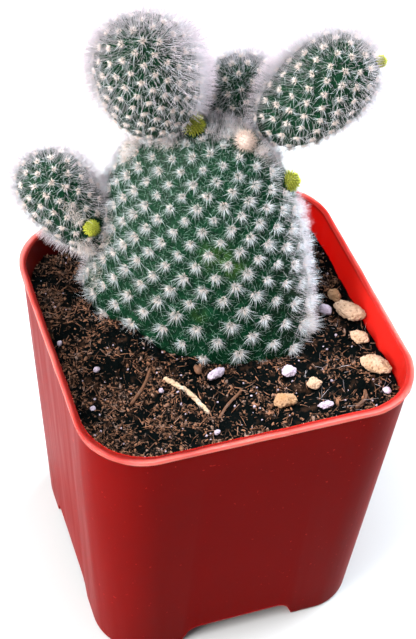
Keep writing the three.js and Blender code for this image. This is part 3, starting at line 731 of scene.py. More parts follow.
class PadForm:
    """The smooth form of a pad, in metres, reached from directions of a unit ball."""

    def __init__(self, pad):
        foot = from_plant(pad["foot"]) * MM
        tip = from_plant(pad["tip"]) * MM
        self.pad = pad
        self.middle = (foot + tip) / 2
        self.half_length = np.linalg.norm(tip - foot) / 2
        self.half_width = pad["half_width"] * MM
        self.half_depth = pad["half_depth"] * MM
        self.axis = unit(tip - foot)
        facing = from_plant(pad["facing"])
        self.depth = unit(facing - self.axis * facing.dot(self.axis))
        self.width = np.cross(self.depth, self.axis)

    def points(self, directions, offset=0.0):
        flat = np.maximum(np.hypot(directions[:, 0], directions[:, 1]), 1e-9)
        power = 2 / self.pad["fullness"]
        rise = np.sign(directions[:, 2]) * np.abs(directions[:, 2]) ** power
        girth = flat ** power * (1 + self.pad["taper"] * rise)
        across = (self.half_width + offset) * girth * directions[:, 0] / flat
        through = (self.half_depth + offset) * girth * directions[:, 1] / flat
        up = (self.half_length + offset) * rise
        return (self.middle + up[:, None] * self.axis + across[:, None] * self.width
                + through[:, None] * self.depth)

    def normals(self, directions):
        side = unit(np.cross((0.3, 0.5, 0.8), directions))
        steps = []
        for way in (1e-3 * side, 1e-3 * np.cross(directions, side)):
            steps.append(self.points(unit(directions + way)) - self.points(unit(directions - way)))
        return unit(np.cross(*steps))

    def depth_inside(self, points):
        """Below 1 inside the pad, 1 on its skin and above 1 outside."""
        arm = points - self.middle
        rise = arm @ self.axis / self.half_length
        fullness = self.pad["fullness"]
        inside = np.maximum(1 - np.abs(rise) ** fullness, 1e-9)
        girth = inside ** (1 / fullness) * (1 + self.pad["taper"] * rise)
        across = arm @ self.width / (self.half_width * girth)
        through = arm @ self.depth / (self.half_depth * girth)
        return np.where(np.abs(rise) < 1, np.hypot(across, through), np.abs(rise) * 9)

    def level_finder(self, by_area):
        """Returns the polar angles of even steps from foot to tip, by skin area or by length."""
        angle = np.linspace(-math.pi / 2, math.pi / 2, 1201)
        power = 2 / self.pad["fullness"]
        rise = np.sign(angle) * np.abs(np.sin(angle)) ** power
        girth = np.abs(np.cos(angle)) ** power * (1 + self.pad["taper"] * rise)
        mean = math.sqrt(self.half_width * self.half_depth)
        run = np.hypot(np.diff(rise) * self.half_length, np.diff(girth) * mean)
        if by_area:
            middle = (girth[1:] + girth[:-1]) / 2
            crowding = 1 + self.pad["crowding"] * (rise[1:] + rise[:-1]) / 2
            run = run * 2 * math.pi * mean * middle * crowding
        return self.finder(run, angle)

    def turn_finder(self):
        turn = np.linspace(0, 2 * math.pi, 721)
        middle = (turn[1:] + turn[:-1]) / 2
        run = np.hypot(self.half_width * np.sin(middle), self.half_depth * np.cos(middle))
        return self.finder(run, turn)[0]

    def finder(self, run, angle):
        """Returns what turns a share of the whole run into an angle, and the whole run."""
        total = np.concatenate([[0], np.cumsum(run)])
        return (lambda share: np.interp(share * total[-1], total, angle)), total[-1]

    def directions(self, levels, turns):
        flat = np.cos(levels)
        return np.stack([flat * np.cos(turns), flat * np.sin(turns), np.sin(levels)], 1)

    def areoles(self, spacing):
        """Returns ball directions in the crossed spirals that areoles follow."""
        level, area = self.level_finder(by_area=True)
        count = round(area / (spacing * spacing * math.sqrt(3) / 2))
        i = np.arange(count)
        turn = self.turn_finder()((i * GOLDEN_ANGLE / (2 * math.pi)) % 1)
        return self.directions(level((i + 0.5) / count), turn)


FORMS = {name: PadForm(pad) for name, pad in PADS.items()}
SKIN_STEPS = {"cactus_body": (230, 170)}
PAD_STEPS = (120, 90)
PATCHES = (((0.1, -1.9, 90.0), 2.8), ((3.2, -2.6, 88.0), 2.4), ((-2.6, -4.7, 76.3), 1.3))


def spacing_of(name, settings):
    return settings.body_spacing if name == "cactus_body" else settings.pad_spacing


def patch_strength(points):
    """How yellow the skin is at each point."""
    strength = np.zeros(len(points))
    for place, reach in PATCHES:
        away = distances(points, from_plant(place) * MM) / (reach * MM)
        strength = np.maximum(strength, 0.7 * np.exp(-away ** 2))
    return strength


def nearest_distance(points, targets):
    least = np.empty(len(points))
    for start in range(0, len(points), 4096):
        block = points[start:start + 4096]
        gap = np.linalg.norm(block[:, None, :] - targets[None, :, :], axis=2)
        least[start:start + 4096] = gap.min(axis=1)
    return least


def make_skin(name, settings):
    """Draws a pad's skin from a ball, with a swelling raised under each areole."""
    form = FORMS[name]
    segments, rings = SKIN_STEPS.get(name, PAD_STEPS)
    deselect()
    bpy.ops.mesh.primitive_uv_sphere_add(segments=segments, ring_count=rings, radius=1)
    skin = bpy.context.object
    skin.name = name.replace("cactus_body", "stem_pad") + "_skin"
    ball = coordinates(skin.data)
    level, _ = form.level_finder(by_area=False)
    share = np.arcsin(np.clip(ball[:, 2], -1, 1)) / math.pi + 0.5
    turn = (np.arctan2(ball[:, 1], ball[:, 0]) / (2 * math.pi)) % 1
    directions = form.directions(level(share), form.turn_finder()(turn))
    areoles = form.points(form.areoles(spacing_of(name, settings)))
    flat = form.points(directions)
    reach = 0.32 * spacing_of(name, settings)
    swelling = np.exp(-(nearest_distance(flat, areoles) / reach) ** 2)
    lift = settings.tubercle * (swelling - 0.6)
    places = flat + form.normals(directions) * lift[:, None]
    set_coordinates(skin.data, places)
    # The skin's material paints these swellings lighter, a painted highlight.
    add_attribute(skin.data, "swelling", swelling)
    add_attribute(skin.data, "patch", patch_strength(flat))
    activate(skin)
    bpy.ops.object.shade_smooth()
    return skin


class CACTUS_OT_pads(bpy.types.Operator):
    """Make the skins of the stem pad and the four younger pads"""

    bl_idname = "cactus.pads"
    bl_label = "Pads"

    def execute(self, context):
        settings = context.scene.cactus_plant
        for name, pad in PADS.items():
            skin = make_skin(name, settings)
            material = cactus_skin(settings, f"Waxy skin of {skin.name}", pad["youth"])
            finish_piece(skin, material, "cactus_skin", name)
        return {"FINISHED"}


# Tufts


SOIL_LEVEL = 65 * MM  # no hair has its root below this
ROOT_SINK = 0.15 * MM
DOWN_RADIUS, FELT_RADIUS = 0.018 * MM, 0.085 * MM


def hair_mesh(name, roots, directions, lengths, radii, shades, droops=0.0, neck=0.55):
    """Makes an object of three-sided hairs that taper to a point, and bend where they have a neck."""
    side = unit(np.cross(directions, (0.31, 0.47, 0.83)))
    other = np.cross(directions, side)
    rings = ((0.0, 1.0), (neck, 0.85)) if neck else ((0.0, 1.0),)
    places = []
    for share, width in rings:
        centre = roots + directions * (lengths * share)[:, None] + droops * share ** 2
        for corner in range(3):
            angle = corner * 2 * math.pi / 3
            ring = side * math.cos(angle) + other * math.sin(angle)
            places.append(centre + ring * (radii * width)[:, None])
    places.append(roots + directions * lengths[:, None] + droops)
    last = len(places) - 4  # the first corner of the ring next to the tip
    faces = [(0, 2, 1)]
    for corner in range(3):
        after = (corner + 1) % 3
        if neck:
            faces += [(corner, after, 3 + after), (corner, 3 + after, 3 + corner)]
        faces.append((last + corner, last + after, last + 3))
    along = [share for share, _ in rings for _ in range(3)] + [1.0]
    return mesh_object(name, np.stack(places, 1), faces, {
        "along": np.tile(along, len(roots)), "shade": np.repeat(shades, len(along))})


def spread(roots, normals, count, random):
    """Returns the number, root, normal and outward direction of count hairs for each root."""
    each = np.repeat(np.arange(len(roots)), count)
    normal = normals[each]
    side = unit(np.cross(normal, (0.2, 0.9, 0.4)))
    other = np.cross(normal, side)
    turn = random.uniform(0, 2 * math.pi, len(each))
    out = side * np.cos(turn)[:, None] + other * np.sin(turn)[:, None]
    return each, roots[each], normal, out


def splayed_hairs(roots, normals, sizes, hang, count, settings, random):
    """Returns the bent hairs that lie along the skin around each root, like the rays of a star."""
    each, start, normal, out = spread(roots, normals, count, random)
    total = len(each)
    lean = random.uniform(0.85, 1.45, total)
    directions = normal * np.cos(lean)[:, None] + out * np.sin(lean)[:, None]
    directions = unit(directions + random.normal(0, 0.08, (total, 3)))
    lengths = settings.hair_length * (0.42 + 0.6 * random.uniform(0, 1, total) ** 1.6) * sizes[each]
    droops = -normal * (0.2 * lengths * np.sin(lean) ** 2)[:, None]
    droops = droops + random.normal(0, 0.06, (total, 3)) * lengths[:, None]
    droops[:, 2] -= hang[each] * lengths
    start = start + out * (0.35 * MM * random.uniform(0.1, 1, total))[:, None] - normal * ROOT_SINK
    radii = settings.hair_radius * random.uniform(0.8, 1.3, total)
    return start, directions, lengths, radii, 0.15 * random.uniform(0, 1, total), droops


def standing_hairs(roots, normals, sizes, longest, settings, random, count, reach, leaning):
    """Returns the bent hairs that stand off the skin."""
    each, start, normal, out = spread(roots, normals, count, random)
    total = len(each)
    place = np.sqrt(random.uniform(0, 1, total))
    start = start + out * (reach * place * sizes[each])[:, None] - normal * ROOT_SINK
    lean = random.uniform(0.0, leaning, total)
    directions = normal * np.cos(lean)[:, None] + out * np.sin(lean)[:, None]
    directions = unit(directions + random.normal(0, 0.06, (total, 3)))
    lengths = longest * random.uniform(0.7, 1.0, total) * sizes[each]
    radii = settings.hair_radius * random.uniform(0.6, 0.9, total)
    droops = random.normal(0, 0.09, (total, 3)) * lengths[:, None]
    return start, directions, lengths, radii, random.uniform(0.0, 0.3, total), droops


def skin_down(form, settings, random):
    """Returns the sparse, fine down that lies flat on the old pad's skin between its tufts."""
    directions = form.areoles(settings.down)
    roots = form.points(directions)
    keep = clear_of_others("cactus_body", roots) & (roots[:, 2] > SOIL_LEVEL)
    roots, normals = roots[keep], form.normals(directions[keep])
    _, start, normal, out = spread(roots, normals, 1, random)
    total = len(start)
    start = start + out * random.uniform(0, 0.6 * MM, total)[:, None]
    lengths = random.uniform(0.5, 1.7, total) * MM
    leaning = unit(out + normal * random.uniform(0.05, 0.35, total)[:, None])
    droops = random.normal(0, 0.12, (total, 3)) * lengths[:, None]
    return start, leaning, lengths, np.full(total, DOWN_RADIUS), np.zeros(total), droops


def fringe_strength(form, roots, normals):
    """How thick the fringe grows on a pad: most round its narrow edge and toward its young tip."""
    edge = 1 - np.abs(normals @ form.depth)
    rise = (roots - form.middle) @ form.axis / form.half_length
    strength = (0.1 + 0.9 * edge) * np.interp(rise, (-0.8, 0.2), (0.4, 1))
    return strength * np.interp(normals[:, 2], (-0.6, 0.2), (0.55, 1))


def fringe_hairs(name, form, settings, random):
    """Returns the even fringe of long hairs that stand off a pad, thickest round its edge."""
    directions = form.areoles(settings.fringe)
    roots = form.points(directions, -0.1 * MM)
    normals = form.normals(directions)
    strength = fringe_strength(form, roots, normals)
    edge = 1 - np.abs(normals @ form.depth)
    if name in ("pad_upper", "pad_right"):
        crest = np.clip((normals[:, 2] - 0.35) / 0.3, 0, 1) * np.clip((edge - 0.5) / 0.3, 0, 1)
        strength = np.minimum(strength + 0.7 * crest, 1.15)
    if name == "pad_back":
        strength = 0.35 + 0.65 * strength
    if name == "cactus_body":
        strength = 0.5 * np.clip(1 - 1.6 * np.abs(normals @ form.depth), 0, 1)
    keep = (random.uniform(0, 1, len(roots)) < strength) & clear_of_others(name, roots)
    keep &= roots[:, 2] > SOIL_LEVEL
    longest = settings.halo if name == "cactus_body" else settings.pad_halo
    if name in ("pad_left", "pad_back"):
        longest *= 0.82
    sizes = 0.72 + 0.3 * strength[keep]
    return standing_hairs(
        roots[keep], normals[keep], sizes, longest, settings, random, count=1, reach=0.3 * MM, leaning=0.3)


# The way the buds look out of the plant: to the front and up.
BUD_SIDE = np.array((-0.27, -0.71, 0.65))


def clear_hairs(hairs, margin=0.5):
    """Leaves out the hairs that would grow into a bud, or across the side where it opens."""
    start, directions, lengths = hairs[:3]
    keep = np.ones(len(start), dtype=bool)
    for name, radius in BUDS.items():
        opening = centre_of(name) + BUD_SIDE * (radius + 0.6) * MM
        for share in (0.0, 0.35, 0.7, 1.0):
            along = start + directions * (share * lengths)[:, None]
            keep &= distances(along, opening) > (radius + 0.3) * MM
            if share:
                keep &= distances(along, centre_of(name)) > (radius + margin) * MM
    return [part[keep] for part in hairs]


def felt_hairs(roots, normals, sizes, reach, settings, random):
    """Returns the short, dense felt that makes the bright heart of each tuft."""
    each, start, normal, out = spread(roots, normals, settings.felt, random)
    total = len(each)
    place = np.sqrt(random.uniform(0, 1, total))
    start = start + out * (reach * place * sizes[each])[:, None] - normal * ROOT_SINK
    lean = place * 1.1 * random.uniform(0.5, 1.1, total)
    directions = unit(normal * np.cos(lean)[:, None] + out * np.sin(lean)[:, None])
    lengths = settings.halo * random.uniform(0.22, 0.36, total) * sizes[each]
    return start, directions, lengths, np.full(total, FELT_RADIUS), random.uniform(0.6, 1, total)


BARE_AREOLE = (-2.6, -4.7, 76.3)
BARE_REACH = 2.2 * MM
# Where the wool grows thick: a pad, a place in the plant's frame, the clump's reach and its hairs.
WOOL = (
    ("cactus_body", (-17.9, 14.8, 104.0), 3.0, 340), ("cactus_body", (-20.1, 13.2, 98.8), 2.6, 260),
    ("cactus_body", (-14.0, 13.5, 107.5), 2.6, 240), ("cactus_body", (-10.1, 10.8, 108.9), 2.2, 260),
    ("cactus_body", (7.8, 8.8, 108.4), 1.8, 220), ("cactus_body", (0.6, 13.0, 110.1), 2.0, 220),
    ("cactus_body", (20.6, 1.6, 75.8), 2.2, 220), ("cactus_body", (-23.5, 8.9, 79.4), 2.6, 300),
    ("pad_left", (-26.9, 7.5, 83.3), 2.0, 260), ("pad_left", (-28.4, 7.5, 91.4), 1.6, 160),
)


def wool_hairs(settings, random):
    """Returns the tangled hairs of the woolly clumps where pads join and along the edges."""
    parts = []
    for name, place, reach, count in WOOL:
        form = FORMS[name]
        near = from_plant(place) * MM
        arm = near - form.middle
        middle = unit(np.array([
            arm @ form.width / form.half_width, arm @ form.depth / form.half_depth,
            arm @ form.axis / form.half_length]))
        scatter = reach * MM / form.half_width * 0.5
        directions = unit(middle + random.normal(0, scatter, (count, 3)))
        roots = form.points(directions, -0.1 * MM)
        leaning = form.normals(directions) + random.normal(0, 0.55, (count, 3))
        lengths = random.uniform(1.0, 2.4, count) * MM
        radii = settings.hair_radius * random.uniform(0.9, 1.4, count)
        droops = random.normal(0, 0.25, (count, 3)) * lengths[:, None]
        parts.append((roots, unit(leaning), lengths, radii, random.uniform(0.3, 1, count), droops))
    return [np.concatenate(pair) for pair in zip(*parts)]


def clear_of_others(name, points):
    """Which points no other pad covers."""
    keep = np.ones(len(points), dtype=bool)
    for other, form in FORMS.items():
        if other != name:
            keep &= form.depth_inside(points) > 1.01
    return keep


def clear_of_buds(points):
    """Which areoles no bud grows from."""
    keep = np.ones(len(points), dtype=bool)
    for name, radius in BUDS.items():
        keep &= distances(points, centre_of(name)) > (radius + 1.0) * MM
    return keep


def grow(name, hairs, material, **shape):
    finish_piece(hair_mesh(name, *hairs, **shape), material, "white_wool")


class CACTUS_OT_tufts(bpy.types.Operator):
    """Grow a star tuft of white hairs on every areole"""

    bl_idname = "cactus.tufts"
    bl_label = "Tufts"

    def execute(self, context):
        settings = context.scene.cactus_plant
        white = settings.hair_white
        hair = cactus_hair("White areole hair", white, white, settings)
        down_hair = cactus_hair("Green white down", settings.hair_down, white, settings)
        fringe_hair = cactus_hair("Pink white fringe hair", white, settings.hair_fringe, settings)
        for seed, (name, form) in enumerate(FORMS.items()):
            random = np.random.default_rng(100 + seed)
            directions = form.areoles(spacing_of(name, settings))
            roots = form.points(directions, 0.4 * settings.tubercle)
            keep = clear_of_others(name, roots) & (roots[:, 2] > SOIL_LEVEL) & clear_of_buds(roots)
            keep &= distances(roots, from_plant(BARE_AREOLE) * MM) > BARE_REACH
            roots = roots[keep]
            normals = form.normals(directions[keep])
            sizes = random.uniform(0.8, 1.05, len(roots))
            hang = np.full(len(roots), 0.38)
            old = name == "cactus_body"
            label = "stem_pad" if old else name
            if old:
                sizes = random.uniform(0.68, 1.1, len(roots))
                sizes *= np.interp(roots[:, 2] / MM, (68, 80, 105), (1.28, 1.12, 0.95))
                hang = np.interp(roots[:, 2] / MM, (68, 80, 105), (0.38, 0.3, 0.2))
            count = settings.splayed if old else settings.splayed * 2 // 3
            rays = splayed_hairs(roots, normals, sizes, hang, count, settings, random)
            grow(label + "_rays", clear_hairs(rays), hair)
            if old:
                grow(label + "_down", skin_down(form, settings, random), down_hair)
                upright = standing_hairs(
                    roots, normals, sizes, settings.halo, settings, random,
                    count=settings.upright, reach=0.5 * MM, leaning=0.85)
                grow(label + "_upright", clear_hairs(upright), hair)
            fringe = fringe_hairs(name, form, settings, random)
            grow(label + "_fringe", clear_hairs(fringe, 1.3), fringe_hair, neck=0.85)
            felt = felt_hairs(roots, normals, sizes, (0.6 if old else 0.36) * MM, settings, random)
            grow(label + "_felt", felt, hair, neck=None)
        grow("shoulder_wool", wool_hairs(settings, np.random.default_rng(90)), hair)
        return {"FINISHED"}


# Buds

BUDS = {
    "bud_upper": 2.1, "bud_right": 1.9, "bud_left": 1.5, "bud_tip": 1.1, "bud_woolly": 1.9,
}


def spiral_ball(count):
    i = np.arange(count)
    height = 1 - (2 * i + 1) / count
    flat = np.sqrt(1 - height ** 2)
    turn = i * GOLDEN_ANGLE
    return np.stack([flat * np.cos(turn), flat * np.sin(turn), height], 1)


def make_bud(name, radius):
    """Makes a bud's round heart and the wool or the soft scales that cover it."""
    centre = centre_of(name)
    woolly = name == "bud_woolly"
    deselect()
    bpy.ops.mesh.primitive_uv_sphere_add(
        segments=32, ring_count=20, radius=radius * MM * 0.8, location=centre)
    heart = bpy.context.object
    heart.name = name + "_heart"
    settle(heart)
    # On the scaled buds this value paints the heart dark, painted shade among the bristles.
    add_attribute(heart.data, "along", 0.2)
    add_attribute(heart.data, "shade", 0.5)
    smooth(heart, 80)
    ball = spiral_ball(620 if woolly else 170)
    random = np.random.default_rng(len(name))
    share = 0.8 if woolly else 0.58
    lengths = radius * MM * share * random.uniform(0.7, 1.15, len(ball))
    radii = np.full(len(ball), (0.05 if woolly else 0.2) * MM)
    roots = centre + ball * radius * MM * 0.74
    directions = unit(ball + random.normal(0, 0.3 if woolly else 0.14, ball.shape))
    shades = random.uniform(0, 0.4, len(ball))
    return heart, hair_mesh(name + "_bristles", roots, directions, lengths, radii, shades, neck=None)


class CACTUS_OT_buds(bpy.types.Operator):
    """Make the yellow-green buds and the woolly one"""

    bl_idname = "cactus.buds"
    bl_label = "Buds"

    def execute(self, context):
        settings = context.scene.cactus_plant
        scales = bud_scales(settings)
        wool = cactus_hair("Cream bud wool", settings.bud_wool, settings.bud_wool, settings)
        for name, radius in BUDS.items():
            heart, bristles = make_bud(name, radius)
            cover = (wool, "white_wool") if name == "bud_woolly" else (scales, "young_bud")
            finish_piece(heart, *cover, name)
            finish_piece(bristles, *cover)
        return {"FINISHED"}


# Soil and what lies in it


SURFACE_DEPTH = 6 * MM  # how far below its highest point the soil's upper surface reaches


def lumps(place, size):
    """Fractal lumps of a given size, about -1 to 1."""
    return noise.fractal(place / size, 0.6, 2.1, 4)


class CACTUS_OT_soil(bpy.types.Operator):
    """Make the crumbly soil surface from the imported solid"""

    bl_idname = "cactus.soil"
    bl_label = "Soil"

    def execute(self, context):
        settings = context.scene.cactus_soil
        soil = copy_of("soil", "peat_soil")
        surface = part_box("soil")[1][2] - SURFACE_DEPTH
        select_parts(soil, "FACE", lambda face: face.center.z > surface and face.normal.z > 0.4)
        bpy.ops.mesh.subdivide(number_cuts=6)
        change_mode("OBJECT")
        pot = context.scene.cactus_pot
        wall = pot.rim_half - pot.lip_proud - pot.wall - 1.2 * MM
        places = coordinates(soil.data)
        for i in np.nonzero(places[:, 2] > surface)[0]:
            place = Vector(places[i])
            edge = max(abs(place.x), abs(place.y))
            free = 1.0 if edge < wall else 0.35
            places[i, 2] += settings.roughness * free * (
                0.55 * lumps(place, 2.6 * MM) + 0.35 * lumps(place + Vector((1, 2, 3)), 0.9 * MM))
        set_coordinates(soil.data, places)
        smooth(soil, 60)
        finish_piece(soil, peat_mix(settings), "peat_soil", "soil")
        return {"FINISHED"}


def refine(node, name, cuts, rough, grain, seed):
    """Returns a packed chip or twig made finer: rounded, then roughened by fractal lumps."""
    piece = copy_of(node, name)
    apply_modifier(piece, "SUBSURF", levels=cuts, render_levels=cuts)
    normals = np.empty(len(piece.data.vertices) * 3)
    piece.data.vertices.foreach_get("normal", normals)
    normals = normals.reshape(-1, 3)
    places = coordinates(piece.data)
    shift = Vector((seed * 0.37, seed * 0.11, seed * 0.23))
    for i in range(len(places)):
        place = Vector(places[i])
        bump = 0.15 + 0.7 * lumps(place + shift, grain) + 0.35 * lumps(place - shift, grain / 3)
        places[i] += normals[i] * rough * bump
    set_coordinates(piece.data, places)
    smooth(piece, 50)
    return piece


def nodes_named(*starts):
    return [name for name in frame["nodes"] if name.startswith(starts)]


class CACTUS_OT_chips(bpy.types.Operator):
    """Roughen the pumice chips, perlite grains, bark and twigs"""

    bl_idname = "cactus.chips"
    bl_label = "Chips and twigs"

    def execute(self, context):
        settings = context.scene.cactus_soil
        pumice = porous_stone("Cream pumice", settings.pumice, settings.ochre, 0.8 * MM)
        stained = porous_stone(
            "Ochre pumice", [(a + b) / 2 for a, b in zip(settings.pumice, settings.ochre)],
            scaled(settings.ochre, 1.2), 0.8 * MM)
        shade = scaled(settings.perlite, 0.5)
        perlite = porous_stone("Expanded perlite", settings.perlite, shade, 0.6 * MM)
        stones = {"pumice_ring": perlite, "pumice_ochre": stained, "pumice_knob": stained}
        twig = toned_litter("Dry twig bark", scaled(settings.coir, 0.35), settings.coir)
        root = toned_litter("Pale dry root", linear("#7C6048"), linear("#D9BEA0"))
        for seed, node in enumerate(nodes_named("pumice")):
            chip = refine(node, node + "_chip", 4, 0.4 * MM, 1.8 * MM, seed)
            finish_piece(chip, stones.get(node, pumice), "pumice", node)
        for seed, node in enumerate(nodes_named("perlite", "shell")):
            grain = refine(node, node + "_grain", 3, 0.22 * MM, 0.9 * MM, seed)
            finish_piece(grain, perlite, "perlite", node)
        for seed, node in enumerate(nodes_named("twig", "bark")):
            stick = refine(node, node + "_bark", 2, 0.1 * MM, 0.6 * MM, seed)
            add_attribute(stick.data, "shade", 0.42)
            finish_piece(stick, twig, "brown_twig", node)
        stick = refine("root_twig", "root_twig_bark", 3, 0.28 * MM, 0.7 * MM, 9)
        add_attribute(stick.data, "shade", 0.55)
        finish_piece(stick, root, "pale_root", "root_twig")
        return {"FINISHED"}


def in_clump(place, level):
    """Whether litter gathers at a place: in clumps, fewer on the right, with damp soil between."""
    sparse = 0.26 * min(1, max(0, place.x / (20 * MM)))
    return noise.noise(place / (6.5 * MM)) + 0.6 * noise.noise(place / (2.2 * MM)) > level + sparse


def surface_points(count, random, bare=0.0, level=0.0):
    """Returns random points and normals on the open soil, and drops those under a solid.

    A share of the points, given by bare, may lie outside the clumps of litter."""
    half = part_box("soil")[1][0] - 0.8 * MM
    solids = [bpy.data.objects["peat_soil"], bpy.data.objects["stem_pad_skin"]]
    solids += [piece for piece in bpy.data.objects if piece.name.endswith(("_chip", "_grain"))]
    places = []
    triangles = []
    for solid in solids:
        triangles += (triangles_of(solid.data) + len(places)).tolist()
        places += coordinates(solid.data).tolist()
        if solid is solids[0]:
            open_faces = len(triangles)
    tree = BVHTree.FromPolygons(places, triangles)
    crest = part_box("soil")[1][2]
    found = []
    while len(found) < count:
        x, y = random.uniform(-half, half, 2)
        start = Vector((x, y, crest + 80 * MM))
        place, normal, face, _ = tree.ray_cast(start, Vector((0, 0, -1)))
        if place is None or face >= open_faces or place.z < crest - SURFACE_DEPTH:
            continue
        if random.uniform() < bare or in_clump(place, level):
            found.append((*place, *normal))
    found = np.array(found)
    return found[:, :3], found[:, 3:]


def crumb_mesh(name, places, sizes, shades, random):
    """Makes an object of small angular crumbs, each a knocked, turned copy of one low ball."""
    deselect()
    bpy.ops.mesh.primitive_ico_sphere_add(subdivisions=1, radius=1)
    model = bpy.context.object
    corners = coordinates(model.data)
    faces = triangles_of(model.data)
    bpy.data.objects.remove(model, do_unlink=True)
    count = len(places)
    knocked = corners[None] * random.uniform(0.7, 1.25, (count, len(corners), 1))
    turned = np.einsum("nij,nkj->nki", random_turns(count, random), knocked * sizes[:, None, :])
    return mesh_object(name, turned + places[:, None, :], faces, {
        "shade": np.repeat(shades, len(corners))})


def random_turns(count, random):
    four = unit(random.normal(size=(count, 4)))
    w, x, y, z = four.T
    return np.stack([
        np.stack([1 - 2 * (y * y + z * z), 2 * (x * y - w * z), 2 * (x * z + w * y)], 1),
        np.stack([2 * (x * y + w * z), 1 - 2 * (x * x + z * z), 2 * (y * z - w * x)], 1),
        np.stack([2 * (x * z - w * y), 2 * (y * z + w * x), 1 - 2 * (x * x + y * y)], 1)], 1)


def fibre_mesh(name, places, normals, random, long=1.0, thick=1.0):
    """Makes an object of bent fibres that lie on the soil; long and thick scale them."""
    count = len(places)
    turn = random.uniform(0, 2 * math.pi, count)
    lift = random.normal(0, 0.3, count)
    directions = unit(np.stack([np.cos(turn), np.sin(turn), lift], 1))
    lengths = long * random.gamma(1.8, 0.8, count).clip(0.6, 3) * MM
    radii = thick * random.uniform(0.04, 0.13, count) * MM
    droops = np.cross(directions, (0, 0, 1)) * (random.normal(0, 0.35, count) * lengths)[:, None]
    shades = random.uniform(0.1, 1.1, count) ** 1.8
    start = places + normals * 0.2 * MM - directions * (lengths / 2)[:, None]
    return hair_mesh(name, start, directions, lengths, radii, shades, droops)


class CACTUS_OT_litter(bpy.types.Operator):
    """Strew crumbs, coir fibres and white grit over the soil"""

    bl_idname = "cactus.litter"
    bl_label = "Litter"

    def execute(self, context):
        settings = context.scene.cactus_soil
        random = np.random.default_rng(7)
        count = settings.crumbs
        places, _ = surface_points(count, random, bare=0.12)
        sizes = random.gamma(4.0, 0.066, (count, 1)).clip(0.1, 0.7) * MM
        sizes = sizes * random.uniform((0.8, 0.35, 0.3), (1.4, 0.7, 0.6), (count, 3))
        shades = random.uniform(0, 1.15, count) ** 2.4
        crumbs = crumb_mesh("soil_crumbs", places, sizes, shades, random)
        peat = toned_litter("Peat crumbs", settings.peat, scaled(settings.coir, 1.3), 0.95)
        finish_piece(crumbs, peat, "peat_soil")
        places, normals = surface_points(settings.fibres, random, bare=0.3)
        fibres = fibre_mesh("coir_fibres", places, normals, random)
        coir = toned_litter("Coir fibre", scaled(settings.coir, 0.25), scaled(settings.coir, 1.5), 0.8)
        finish_piece(fibres, coir, "brown_twig")
        places, normals = surface_points(3 * settings.threads, random, bare=1.0)
        right = np.argsort(-places[:, 0])[:settings.threads]
        threads = fibre_mesh("root_threads", places[right], normals[right], random, 2.0, 0.45)
        pale_root = toned_litter("Dry root threads", linear("#6E6468"), linear("#C9BCC0"))
        finish_piece(threads, pale_root, "pale_root")
        count = settings.grit
        places, _ = surface_points(count, random, bare=0.6)
        sizes = random.uniform(0.1, 0.32, (count, 1)) * random.uniform(0.6, 1.2, (count, 3)) * MM
        grit = crumb_mesh("perlite_grit", places + (0, 0, 0.15 * MM), sizes, np.ones(count), random)
        white = porous_stone("Perlite dust", settings.perlite, scaled(settings.perlite, 0.5), 0.3 * MM)
        finish_piece(grit, white, "perlite")
        return {"FINISHED"}


# Stage

PICTURE_WIDTH, PICTURE_HEIGHT = 416, 639
PRINCIPAL_X, PRINCIPAL_Y = 202.3, 320.2  # where the lens's axis meets the picture


def make_camera(settings):
    azimuth, elevation, roll = settings.camera_turn
    flat = math.cos(elevation)
    back = Vector((math.sin(azimuth) * flat, -math.cos(azimuth) * flat, math.sin(elevation)))
    level = Vector((math.cos(azimuth), math.sin(azimuth), 0))
    upright = back.cross(level)
    right = level * math.cos(roll) + upright * math.sin(roll)
    up = upright * math.cos(roll) - level * math.sin(roll)
    data = bpy.data.cameras.new("Camera")
    data.sensor_width = 36
    data.lens = settings.focal_pixels * data.sensor_width / PICTURE_HEIGHT
    data.shift_x = (PICTURE_WIDTH / 2 - PRINCIPAL_X) / PICTURE_HEIGHT
    data.shift_y = (PRINCIPAL_Y - PICTURE_HEIGHT / 2) / PICTURE_HEIGHT
    data.clip_start = 0.01
    camera = add_object("Camera", data)
    turn = Matrix((right, up, back)).transposed()
    camera.matrix_world = Matrix.Translation(settings.camera_place) @ turn.to_4x4()
    bpy.context.scene.camera = camera


def make_light(name, place, target, size, power, tint):
    data = bpy.data.lights.new(name, "AREA")
    data.size = size
    data.energy = power
    data.color = tint
    light = add_object(name, data)
    light.location = place
    light.rotation_euler = (Vector(target) - Vector(place)).to_track_quat("-Z", "Y").to_euler()


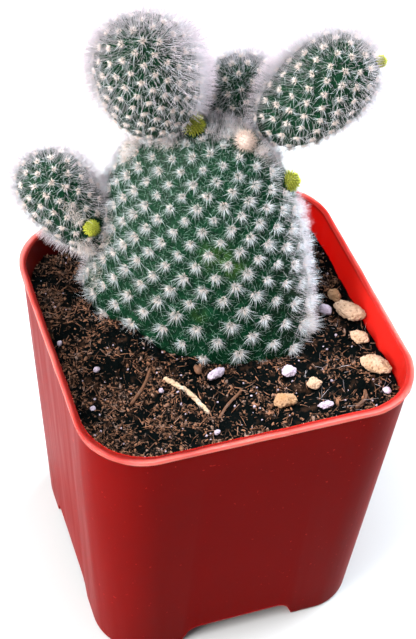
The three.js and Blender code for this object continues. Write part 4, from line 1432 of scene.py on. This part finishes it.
class CACTUS_OT_stage(bpy.types.Operator):
    """Make the pale floor, the soft light and the camera"""

    bl_idname = "cactus.stage"
    bl_label = "Stage"

    def execute(self, context):
        settings = context.scene.cactus_stage
        deselect()
        bpy.ops.mesh.primitive_plane_add(size=6, location=(0, 0, 0))
        floor = context.object
        floor.name = "floor"
        floor.data.materials.append(matt_floor(settings))
        make_camera(settings)
        middle = (0, 0, 80 * MM)
        make_light("Window", (-0.92, -0.2, 0.52), middle, 0.7, settings.key, (1.0, 0.97, 0.94))
        make_light("Overhead", (-0.3, -0.15, 1.2), middle, 0.9, settings.top, (0.95, 0.98, 1.0))
        make_light("Behind", (0.85, 0.35, 0.45), middle, 0.8, settings.behind, (0.86, 0.94, 1.0))
        world = bpy.data.worlds.new("Pale room")
        context.scene.world = world
        world.use_nodes = True
        background = world.node_tree.nodes["Background"]
        background.inputs["Color"].default_value = (0.93, 0.96, 1.0, 1)
        background.inputs["Strength"].default_value = settings.room
        context.scene.view_settings.view_transform = "Standard"
        return {"FINISHED"}


# Panel and registration

OPERATORS = (
    CACTUS_OT_stage, CACTUS_OT_pot, CACTUS_OT_pads, CACTUS_OT_tufts, CACTUS_OT_buds,
    CACTUS_OT_soil, CACTUS_OT_chips, CACTUS_OT_litter,
)
SETTINGS = {
    "cactus_pot": CactusPotSettings, "cactus_plant": CactusPlantSettings,
    "cactus_soil": CactusSoilSettings, "cactus_stage": CactusStageSettings,
}


class CACTUS_PT_panel(bpy.types.Panel):
    """Lists the steps that build the potted cactus"""

    bl_idname = "CACTUS_PT_panel"
    bl_label = "Potted bunny ear cactus"
    bl_space_type = "VIEW_3D"
    bl_region_type = "UI"
    bl_category = "Cactus"

    def draw(self, context):
        for operator in OPERATORS:
            self.layout.operator(operator.bl_idname)
        for key, group in SETTINGS.items():
            box = self.layout.box()
            for setting in group.__annotations__:
                box.prop(getattr(context.scene, key), setting)


def register():
    for group in (*SETTINGS.values(), *OPERATORS, CACTUS_PT_panel):
        bpy.utils.register_class(group)
    for key, group in SETTINGS.items():
        setattr(bpy.types.Scene, key, PointerProperty(type=group))


def unregister():
    for key in SETTINGS:
        delattr(bpy.types.Scene, key)
    for group in reversed((*SETTINGS.values(), *OPERATORS, CACTUS_PT_panel)):
        bpy.utils.unregister_class(group)


def main():
    register()
    for operator in OPERATORS:
        step = operator.bl_idname.split(".")[1]
        getattr(bpy.ops.cactus, step)()


if __name__ == "__main__":
    main()
